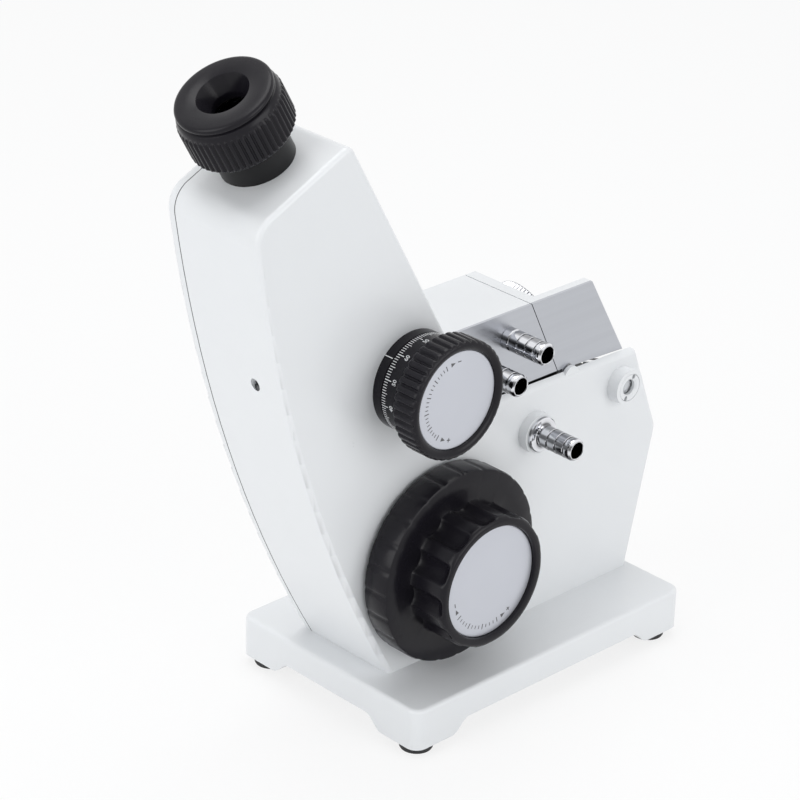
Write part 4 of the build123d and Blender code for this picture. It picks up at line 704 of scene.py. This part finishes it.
# %% Turn one foot and copy it
FOOT_X, FOOT_Y = 56.7, 36.2
foot_top = BASE_FOOT + 0.02
foot_profile = [(0, 1.6), (2.2, 1.6), (2.5, 1.3), (2.6, 0.25), (2.9, 0.0), (4.9, 0.0), (5.4, 0.2),
                (5.7, 0.7), (5.85, 1.5), (6.0, 2.6), (6.1, 3.1), (6.1, foot_top), (0, foot_top)]
first_foot = turned("foot", foot_profile, 64)
corners = [(x, y) for x in (-FOOT_X, FOOT_X) for y in (-FOOT_Y, FOOT_Y)]
feet = joined([placed_copy(first_foot, Matrix.Translation(at(x, y, 0))) for x, y in corners],
              "moulded_rubber_feet")
bpy.data.objects.remove(first_foot)
settle(feet)
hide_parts("rubber_feet")
dressed(feet, finishes["foot_rubber"], "stand")

# %% [markdown]
# ### Dispersion knob
# The knob is a black moulding with broad finger ribs that run almost to its front edge, and a
# shallow bowl that holds the silver disc. The ribs are 42, and each is ten points wide: the groove
# takes three of them and the rest is the rounded rib.

# %% Turn and rib the dispersion knob
RIBS = 42
knob_profile = [(0, 14.6), (2.53, 14.6), (2.53, 0.0), (10.97, 0.0), (10.97, 6.6), (17.3, 6.6),
                (17.7, 6.8), (18.7, 7.5), (19.7, 8.2), (20.15, 8.7), (20.3, 9.3), (20.3, 13.0),
                (20.3, 16.3), (20.25, 16.9), (20.05, 17.35), (19.7, 17.7), (19.2, 17.95), (18.6, 18.0),
                (17.9, 17.9), (17.3, 17.6), (16.9, 17.2), (16.75, 16.8), (16.75, 15.8), (0, 15.8)]
rib_shares = (1.0, 0.78, 0.22, 0.04, 0.0, 0.0, 0.0, 0.04, 0.22, 0.78)
knob = turned("ribbed_dispersion_knob", knob_profile, RIBS * len(rib_shares))
rib_rows = [(18.7, 7.5, 0.45), (19.7, 8.2, 0.75), (20.15, 8.7, 0.85), (20.3, 9.3, 0.9),
            (20.3, 13.0, 0.9), (20.3, 16.3, 0.9), (20.25, 16.9, 0.75), (20.05, 17.35, 0.42),
            (19.7, 17.7, 0.1)]
press(knob, RIBS, rib_shares, rib_rows)
stand_on(knob, knob_seat, ALONG_X, TOWARDS_US)
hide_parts("dispersion_knob")
dressed(knob, finishes["black_plastic"], "dispersion_knob_body")

# %% [markdown]
# ### Adjustment handwheel
# The handwheel is one moulding: a wide notched flange that a finger can spin, and a grip with
# twelve scoops that shallow out before its front lip. The scoop's depth across its width is the
# cut of a round cutter, so it is worked out from the cutter's radius.

# %% Turn the handwheel
WHEEL_STEPS, WHEEL_BORE, WHEEL_GROWTH = 288, 9.1, 1.016
wheel_profile = [(0, 20.2), (3.03, 20.2), (3.03, 0.5), (9.0, 0.5), (9.0, 3.0), (27.6, 3.0), (27.6, 0.4),
                 (28.0, 0.0), (32.4, 0.0), (33.2, 0.35), (33.6, 1.2), (33.6, 5.3), (33.6, 9.5),
                 (33.25, 10.35), (32.5, 10.7), (28.0, 10.7), (24.4, 10.7), (23.4, 11.0), (23.0, 11.8),
                 (23.0, 15.0), (23.0, 18.5), (23.0, 22.0), (23.0, 22.9), (23.0, 23.6), (22.95, 24.2),
                 (22.8, 24.75), (22.5, 25.2), (22.05, 25.55), (21.4, 25.7), (20.6, 25.7), (19.9, 25.6),
                 (19.6, 25.3), (19.5, 24.9), (19.5, 23.2), (0, 23.2)]
wheel_section = grown(wheel_profile, WHEEL_GROWTH, WHEEL_BORE)
wheel = turned("adjustment_handwheel_moulding", wheel_section, WHEEL_STEPS)
print("handwheel blank", len(wheel.data.polygons), "faces")

# %% Scoop its grip
SCOOPS, SCOOP_PHASE = 12, math.radians(-10)
GRIP_R, CUTTER_R, CUTTER_AT = 23.0, 4.8, 25.7
SCOOP_DEPTH = GRIP_R - (CUTTER_AT - CUTTER_R)


def scoop_shares():
    """Depth of a round cut across one scoop, as a share of its middle depth."""
    points = WHEEL_STEPS // SCOOPS
    shares = []
    for point in range(points):
        away = math.radians(abs(point - points // 2) * 360 / WHEEL_STEPS)
        gap = CUTTER_R ** 2 - (CUTTER_AT * math.sin(away)) ** 2
        depth = GRIP_R - (CUTTER_AT * math.cos(away) - math.sqrt(gap)) if gap > 0 else 0
        shares.append(round(max(depth, 0) / SCOOP_DEPTH, 3))
    return shares


scoop_rows = [(radius, height, SCOOP_DEPTH * share) for radius, height, share in (
    (23.4, 11.0, 1.0), (23.0, 11.8, 1.0), (23.0, 15.0, 1.0), (23.0, 18.5, 1.0), (23.0, 22.0, 1.0),
    (23.0, 22.9, 0.94), (23.0, 23.6, 0.8), (22.95, 24.2, 0.58), (22.8, 24.75, 0.32), (22.5, 25.2, 0.1))]
press(wheel, SCOOPS, scoop_shares(), grown(scoop_rows, WHEEL_GROWTH, WHEEL_BORE), SCOOP_PHASE)
print("scoops", SCOOPS, "depth", round(SCOOP_DEPTH, 2))

# %% Notch its flange
NOTCHES = 24
notch_shares = (1.0, 0.35, 0, 0, 0, 0, 0, 0, 0, 0, 0, 0.35)
notch_rows = [(33.2, 0.35, 0.3), (33.6, 1.2, 0.45), (33.6, 5.3, 0.45), (33.6, 9.5, 0.45),
              (33.25, 10.35, 0.3)]
press(wheel, NOTCHES, notch_shares, grown(notch_rows, WHEEL_GROWTH, WHEEL_BORE))
stand_on(wheel, wheel_seat, ALONG_X, TOWARDS_US)
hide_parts("adjustment_handwheel")
dressed(wheel, finishes["black_plastic"], "handwheel_body")

# %% [markdown]
# ### Eyepiece cap
# The cap is turned and knurled. Its top is a flat ring round a cone that guides the eye, with a
# small step below the rim, a smooth band, and then the straight knurl.

# %% Turn and knurl the eyepiece cap
CAP_FOOT, TUBE_Y = 102.0, 4.6
KNURLS = 52
CAP_SIZE = {"share": 1.035, "bore": 12.7, "lift": 1.018}
cap_profile = [(12.28, 8.0), (12.28, 0.3), (12.6, 0.0), (15.0, 0.0), (15.7, 0.3), (16.2, 0.9),
               (16.75, 1.5), (16.8, 1.9), (16.8, 6.0), (16.8, 11.4), (16.7, 12.0), (16.45, 12.5),
               (16.4, 12.6), (16.2, 13.6), (15.9, 14.6), (15.6, 15.0), (15.1, 15.15), (14.95, 15.3),
               (15.0, 15.5), (15.4, 15.7), (15.55, 16.1), (15.5, 16.7), (15.25, 17.2), (14.8, 17.5),
               (14.2, 17.6), (9.0, 17.6), (8.7, 17.45), (5.75, 12.6), (5.6, 12.3), (5.6, 10.2),
               (10.33, 10.2), (10.33, 8.0)]
knurl_shares = (1.0, 0.72, 0.2, 0.0, 0.0, 0.0, 0.2, 0.72)
cap_section = grown(cap_profile + cap_profile[:1], **CAP_SIZE)
cap = turned("knurled_eyepiece_cap", cap_section, KNURLS * len(knurl_shares))
knurl_rows = [(16.2, 0.9, 0.1), (16.75, 1.5, 0.62), (16.8, 1.9, 0.75), (16.8, 6.0, 0.75),
              (16.8, 11.4, 0.75), (16.7, 12.0, 0.62), (16.45, 12.5, 0.25)]
press(cap, KNURLS, knurl_shares, grown(knurl_rows, **CAP_SIZE))
cap_seat = at(KNOB_X, TUBE_Y, KNOB_Z) + Vector(UP_TUBE) * CAP_FOOT * MM
stand_on(cap, cap_seat, ALONG_Y, UP_TUBE)
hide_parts("eyepiece_cap")
dressed(cap, finishes["black_plastic"], "eyepiece_cap_body")

# %% [markdown]
# ### Hose nozzles
# A hose nozzle is turned from brass and plated. Its barrel is a row of short barbs, each straight
# for most of its length with a narrow groove behind it, and a chamfered tip round a wide bore.

# %% Half section of a barbed nozzle
NOZZLE_STEPS = 64
BARBS, BARB_R, TIP = 3, 3.9, 3.4
GROOVE_R = BARB_R - 0.35


def barbed_profile(length, plain, seat):
    """Half section of a nozzle: seat rows first, then barbs up to a chamfered tip."""
    rows = [(2.7, -2.4), (3.28, -2.4)] + seat
    pitch = (length - plain - TIP) / BARBS
    for index in range(BARBS):
        low = plain + index * pitch
        rows += [(GROOVE_R, low + 0.05), (GROOVE_R, low + 0.35), (BARB_R - 0.12, low + 0.5),
                 (BARB_R, low + 0.7), (BARB_R, low + pitch - 0.2), (BARB_R - 0.1, low + pitch - 0.05)]
    tip = length - TIP
    rows += [(GROOVE_R, tip + 0.05), (GROOVE_R, tip + 0.35), (BARB_R - 0.1, tip + 0.5),
             (BARB_R, tip + 0.7), (BARB_R, length - 0.9), (BARB_R - 0.08, length - 0.72),
             (BARB_R - 0.6, length - 0.05), (BARB_R - 0.75, length), (3.05, length),
             (2.9, length - 0.15), (2.9, 2.0), (2.7, 1.6)]
    return rows + [rows[0]]


print("barbs", BARBS, "radius", BARB_R)

# %% Turn the three nozzles
PRISM_NOZZLES, PRISM_SEAT = ((-0.9, 125.4), (-12.8, 117.8)), -17.0
seat_ring = [(3.28, 0.0), (3.75, 0.0), (3.9, 0.15), (3.9, 2.6), (3.75, 2.85)]
nozzle_parts = []
for x, z in PRISM_NOZZLES:
    part = turned("prism_nozzle", barbed_profile(17.8, 3.0, seat_ring), NOZZLE_STEPS)
    stand_on(part, at(x, PRISM_SEAT, z), ALONG_X, TOWARDS_US)
    nozzle_parts.append(part)
prism_nozzles = joined(nozzle_parts, "turned_prism_nozzles")
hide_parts("prism_hose_nozzles")
dressed(prism_nozzles, finishes["chrome_plate"], "stand")
flange = [(3.28, 0.0), (6.0, 0.0), (6.2, 0.2), (6.2, 1.1), (5.9, 1.4), (4.3, 1.4), (3.95, 1.6),
          (3.85, 2.2)]
boss_face = at(10.7, -22.8, 88.6)
body_nozzle = turned("turned_body_nozzle", barbed_profile(16.8, 2.3, flange), NOZZLE_STEPS)
stand_on(body_nozzle, boss_face, ALONG_X, TOWARDS_US)
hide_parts("body_hose_nozzle")
dressed(body_nozzle, finishes["chrome_plate"], "stand")

# %% [markdown]
# ### Retaining ring of the condenser
# The little lens that lights the scale is held by a ring with two slots for a pin spanner. The ring
# is turned with a bevelled mouth, and both slots are cut right through, so that they read as dark.

# %% Turn the ring and cut its two slots
SLOT_ANGLES, SLOT_FROM_AXIS = (65, 245), 4.1
SLOT_R, SLOT_STRETCH, SLOT_LONG, SLOT_LIFT = 0.72, 1.35, 6.0, 1.0
condenser = at(53.0, -22.4, 93.0)
ring_profile = [(2.8, 0.0), (4.9, 0.0), (4.9, 1.4), (4.75, 1.6), (3.5, 1.6), (2.8, 1.1), (2.8, 0.0)]
ring = turned("slotted_retaining_ring", ring_profile, 96)
for angle in SLOT_ANGLES:
    bpy.ops.object.select_all(action="DESELECT")
    bpy.ops.mesh.primitive_cylinder_add(vertices=20, radius=SLOT_R * MM, depth=SLOT_LONG * MM)
    slot = bpy.context.object
    slot.scale = (SLOT_STRETCH, 1, 1)
    settle(slot)
    outwards = Matrix.Translation((SLOT_FROM_AXIS * MM, 0, SLOT_LIFT * MM))
    slot.matrix_world = Matrix.Rotation(math.radians(angle), 4, "Z") @ outwards
    settle(slot)
    cut_away(ring, slot)
stand_on(ring, condenser, ALONG_X, TOWARDS_US)
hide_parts("condenser_retaining_ring")
dressed(ring, finishes["white_enamel"], "stand")

# %% [markdown]
# ### Lock wheel
# The knurled wheel behind the prisms draws them together. It is plated and sits on a thin stud, so
# it is one turned shape along the line that leans out of the split between the prisms.

# %% Turn and knurl the lock wheel
SPLIT = math.radians(26.4)
UP_SPLIT = Vector((-math.sin(SPLIT), 0, math.cos(SPLIT)))
OUT_OF_SPLIT = Vector((math.cos(SPLIT), 0, math.sin(SPLIT)))
SPLIT_FOOT, STUD_UP_SPLIT = at(23.4, 0, 106.0), 17.2
LOCK_KNURLS = 48
lock_profile = [(0, 10.2), (3.9, 10.2), (4.7, 10.0), (5.2, 9.5), (5.45, 9.1), (8.7, 9.0), (9.5, 8.75),
                (9.9, 8.3), (10.0, 7.9), (10.0, 7.0), (10.0, 6.1), (9.9, 5.7), (9.5, 5.2), (8.8, 5.0),
                (2.0, 5.0), (2.0, -3.6), (0, -3.6)]
lock_shares = (1.0, 0.5, 0.0, 0.0, 0.0, 0.5)
lock = turned("knurled_lock_wheel", lock_profile, LOCK_KNURLS * len(lock_shares))
lock_rows = [(9.5, 8.75, 0.1), (9.9, 8.3, 0.4), (10.0, 7.9, 0.5), (10.0, 7.0, 0.5), (10.0, 6.1, 0.5),
             (9.9, 5.7, 0.4), (9.5, 5.2, 0.1)]
press(lock, LOCK_KNURLS, lock_shares, lock_rows)
stand_on(lock, SPLIT_FOOT + UP_SPLIT * STUD_UP_SPLIT * MM, ALONG_Y, OUT_OF_SPLIT)
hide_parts("lock_wheel")
dressed(lock, finishes["chrome_plate"], "lock_wheel_body")

# %% [markdown]
# ### Silver face discs
# Each knob carries a thin satin disc with a turned edge. The disc sits a little below the knob's
# lip, so the lip throws a dark line round it.

# %% Turn the two face discs
DISC_STEPS = 120
small_disc = turned("dispersion_face_disc", [(0, 15.8), (16.6, 15.8), (16.72, 15.95), (16.72, 16.5),
                                             (16.5, 16.72), (16.1, 16.8), (0, 16.8)], DISC_STEPS)
stand_on(small_disc, knob_seat, ALONG_X, TOWARDS_US)
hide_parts("dispersion_knob_disc")
dressed(small_disc, finishes["silver_disc"], "dispersion_knob_body")
large_disc = turned("adjustment_face_disc", [(0, 23.2), (19.6, 23.2), (19.75, 23.35), (19.75, 23.9),
                                             (19.5, 24.12), (19.1, 24.2), (0, 24.2)], DISC_STEPS)
stand_on(large_disc, wheel_seat, ALONG_X, TOWARDS_US)
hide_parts("adjustment_disc")
dressed(large_disc, finishes["silver_disc"], "handwheel_body")

# %% [markdown]
# ### Turning marks on the discs
# Each disc has a printed arc that shows which way to turn: short ticks between a minus and a plus,
# with an arrow at either end. A tick and an arrow are modelled once, and copied along the arc.

# %% Helpers for printed and engraved marks
PRINT_THICK, PRINT_EASE = 0.06, 0.02


def eased(mark, offset):
    """Break every edge of a small mark by an offset in millimetres."""
    bpy.ops.object.mode_set(mode="EDIT")
    bpy.ops.mesh.select_all(action="SELECT")
    bpy.ops.mesh.bevel(offset=offset * MM, segments=1)
    bpy.ops.object.mode_set(mode="OBJECT")
    return mark


def thin_bar(width, height, thick=PRINT_THICK, ease=PRINT_EASE):
    """A thin bar in the plane of its face, centred, sizes in millimetres."""
    bpy.ops.object.select_all(action="DESELECT")
    bpy.ops.mesh.primitive_cube_add(size=1)
    mark = bpy.context.object
    mark.scale = (width * MM, height * MM, thick * MM)
    settle(mark)
    return eased(mark, ease)


def printed_arrow(length, width):
    """A thin arrowhead that points along its own x."""
    bpy.ops.object.select_all(action="DESELECT")
    bpy.ops.mesh.primitive_cylinder_add(vertices=3, radius=1, depth=1, rotation=(0, 0, -math.pi / 2))
    mark = bpy.context.object
    settle(mark)
    # A triangle in a circle of radius 1 is 1.5 long and 1.732 wide.
    mark.scale = (length * MM / 1.5, width * MM / 1.732, PRINT_THICK * MM)
    settle(mark)
    return eased(mark, PRINT_EASE)


def on_disc(centre, radius, angle, height):
    """Matrix for a mark on a disc: its y points outwards, its x runs clockwise as seen from us."""
    out = Vector((math.cos(angle), 0, math.sin(angle)))
    normal = Vector(TOWARDS_US)
    across = out.cross(normal)
    turn = Matrix((across, out, normal)).transposed().to_4x4()
    return Matrix.Translation(centre + out * radius * MM + normal * height * MM) @ turn


print("helpers: eased, thin_bar, printed_arrow, on_disc")

# %% Print the marks on both discs
TICK_PITCH, LONG_EVERY = 6, 4
TO_ARROW, TO_SIGN = 2.6, 5.6


def turning_marks(name, centre, face, radius, start, end, body):
    """Ticks from one angle to the other, an arrow beyond each end, and a minus and a plus."""
    tick, long_tick = thin_bar(0.28, 1.2), thin_bar(0.34, 1.9)
    dash, arrow = thin_bar(1.5, 0.34), printed_arrow(1.9, 1.5)
    count = round((end - start) / TICK_PITCH)
    places = [(tick if index % LONG_EVERY else long_tick, start + (end - start) * index / count, 0)
              for index in range(count + 1)]
    beyond = math.degrees(TO_ARROW / radius)
    places += [(arrow, start - beyond, 0), (arrow, end + beyond, math.pi)]
    beyond = math.degrees(TO_SIGN / radius)
    places += [(dash, start - beyond, 0), (dash, end + beyond, 0), (dash, end + beyond, math.pi / 2)]
    marks = []
    for model, angle, way in places:
        spot = on_disc(centre, radius, math.radians(angle), face)
        marks.append(placed_copy(model, spot @ Matrix.Rotation(way, 4, "Z")))
    for model in (tick, long_tick, dash, arrow):
        bpy.data.objects.remove(model)
    piece = joined(marks, name)
    settle(piece)
    dressed(piece, dark_print, body)


turning_marks("dispersion_turning_marks", knob_seat, face=16.82, radius=13.4, start=112, end=232,
              body="dispersion_knob_body")
turning_marks("adjustment_turning_marks", wheel_seat, face=24.22, radius=16.2, start=212, end=284,
              body="handwheel_body")

# %% [markdown]
# ### Gasket between body and cover
# The side cover closes on a thin dark gasket, which shows as a fine line down the spine. Its path is
# the cover's own outline, so a copy of the cover is merged and cut down to a thin band. Of that band
# only the outer loop is kept, which is the one that reaches the spine, and it is given thickness.

# %% Cut the gasket from a copy of the cover
JOINT_LOW, JOINT_HIGH = 19.02, 19.24
GASKET_THICK, GASKET_OUTWARDS = 0.6, -0.84
JOINT_MERGE, OUTLINE_REACH = 0.005, 0.05
cover = frame["nodes"]["side_cover"]
gasket = bpy.data.objects.new("cover_gasket", cover.data.copy())
bpy.context.scene.collection.objects.link(gasket)
gasket.matrix_world = cover.matrix_world.copy()
settle(gasket)
bpy.ops.object.mode_set(mode="EDIT")
bpy.ops.mesh.select_mode(type="VERT")
bpy.ops.mesh.select_all(action="SELECT")
bpy.ops.mesh.remove_doubles(threshold=JOINT_MERGE * MM)
bpy.ops.mesh.select_all(action="SELECT")
bpy.ops.mesh.bisect(plane_co=at(0, JOINT_HIGH, 0), plane_no=ALONG_Y, clear_outer=True)
bpy.ops.mesh.select_all(action="SELECT")
bpy.ops.mesh.bisect(plane_co=at(0, JOINT_LOW, 0), plane_no=ALONG_Y, clear_inner=True)
shape = bmesh.from_edit_mesh(gasket.data)
far_x = max(vertex.co.x for vertex in shape.verts)
edit_points(gasket, lambda co: co.x > far_x - OUTLINE_REACH * MM)
bpy.ops.mesh.select_linked()
bpy.ops.mesh.select_all(action="INVERT")
bpy.ops.mesh.delete(type="VERT")
bpy.ops.object.mode_set(mode="OBJECT")
thicken = gasket.modifiers.new("thickness", "SOLIDIFY")
thicken.thickness = GASKET_THICK * MM
thicken.offset = GASKET_OUTWARDS
bpy.ops.object.modifier_apply(modifier="thickness")
dressed(gasket, finishes["foot_rubber"], "stand")

# %% [markdown]
# ## Marks on the dispersion drum
# The drum is divided into 120 parts, with a long line and a number every ten. On the real drum
# they are engraved and filled with white. One line is modelled and bevelled once, then copied
# round the drum, and the figures are wrapped on the same curve.

# %% Where the drum is divided
DRUM_RADIUS, DRUM_BACK = 17.0, KNOB_BACK
ZERO, INDEX, INDEX_Y = math.radians(128), math.radians(135), -21.1
ENGRAVED_THICK, ENGRAVED_EASE = 0.1, 0.03


def on_drum(angle, radius, y):
    """Matrix that stands a mark on the drum: its x runs round the drum, its y along the axis."""
    out = Vector((math.cos(angle), 0, math.sin(angle)))
    along = Vector(ALONG_Y)
    across = along.cross(out)
    turn = Matrix((across, along, out)).transposed().to_4x4()
    return Matrix.Translation(at(KNOB_X, y, KNOB_Z) + out * radius * MM) @ turn


print("drum radius", DRUM_RADIUS)

# %% One engraved line, copied round the drum
DIVISIONS, RIM = 120, 0.15
LINES = ((10, 2.8, 1.25), (5, 2.2, 1.0), (1, 1.6, 1.0))  # every how many, length, breadth
line = thin_bar(0.22, 1.0, ENGRAVED_THICK, ENGRAVED_EASE)
lines = []
for index in range(DIVISIONS):
    length, breadth = next(row[1:] for row in LINES if index % row[0] == 0)
    angle = ZERO + 2 * math.pi * index / DIVISIONS
    spot = on_drum(angle, DRUM_RADIUS, DRUM_BACK - RIM - length / 2)
    lines.append(placed_copy(line, spot @ Matrix.Diagonal((breadth, length, 1, 1))))
bpy.data.objects.remove(line)
drum_lines = joined(lines, "drum_lines")
settle(drum_lines)
dressed(drum_lines, white_filling, "dispersion_knob_body")

# %% Figures wrapped on the drum
FIGURES, FIGURE_SIZE, FIGURE_DEPTH = 12, 2.1, 0.05
FIGURES_Y = DRUM_BACK - 4.4


def figure(text, size, depth):
    """Raised figure as a mesh, centred, sizes in millimetres."""
    bpy.ops.object.select_all(action="DESELECT")
    bpy.ops.object.text_add()
    words = bpy.context.object
    words.data.body = text
    words.data.size = size * MM
    words.data.extrude = depth * MM
    words.data.align_x = "CENTER"
    words.data.align_y = "CENTER"
    bpy.ops.object.convert(target="MESH")
    return bpy.context.object


figures = []
for step in range(FIGURES):
    digits = figure(str(abs(60 - step * 10)), FIGURE_SIZE, FIGURE_DEPTH)
    angle = ZERO + 2 * math.pi * step / FIGURES
    for vertex in digits.data.vertices:
        bend = vertex.co.x / (DRUM_RADIUS * MM)
        spot = on_drum(angle - bend, DRUM_RADIUS, FIGURES_Y)
        vertex.co = spot @ Vector((0, vertex.co.y, vertex.co.z))
    figures.append(digits)
drum_figures = joined(figures, "drum_figures")
dressed(drum_figures, white_filling, "dispersion_knob_body")

# %% The fixed index line
index_line = thin_bar(0.3, 3.4, ENGRAVED_THICK, ENGRAVED_EASE)
index_line.name = index_line.data.name = "index_line"
index_line.matrix_world = on_drum(INDEX, DRUM_RADIUS, INDEX_Y)
settle(index_line)
dressed(index_line, white_filling, "stand")
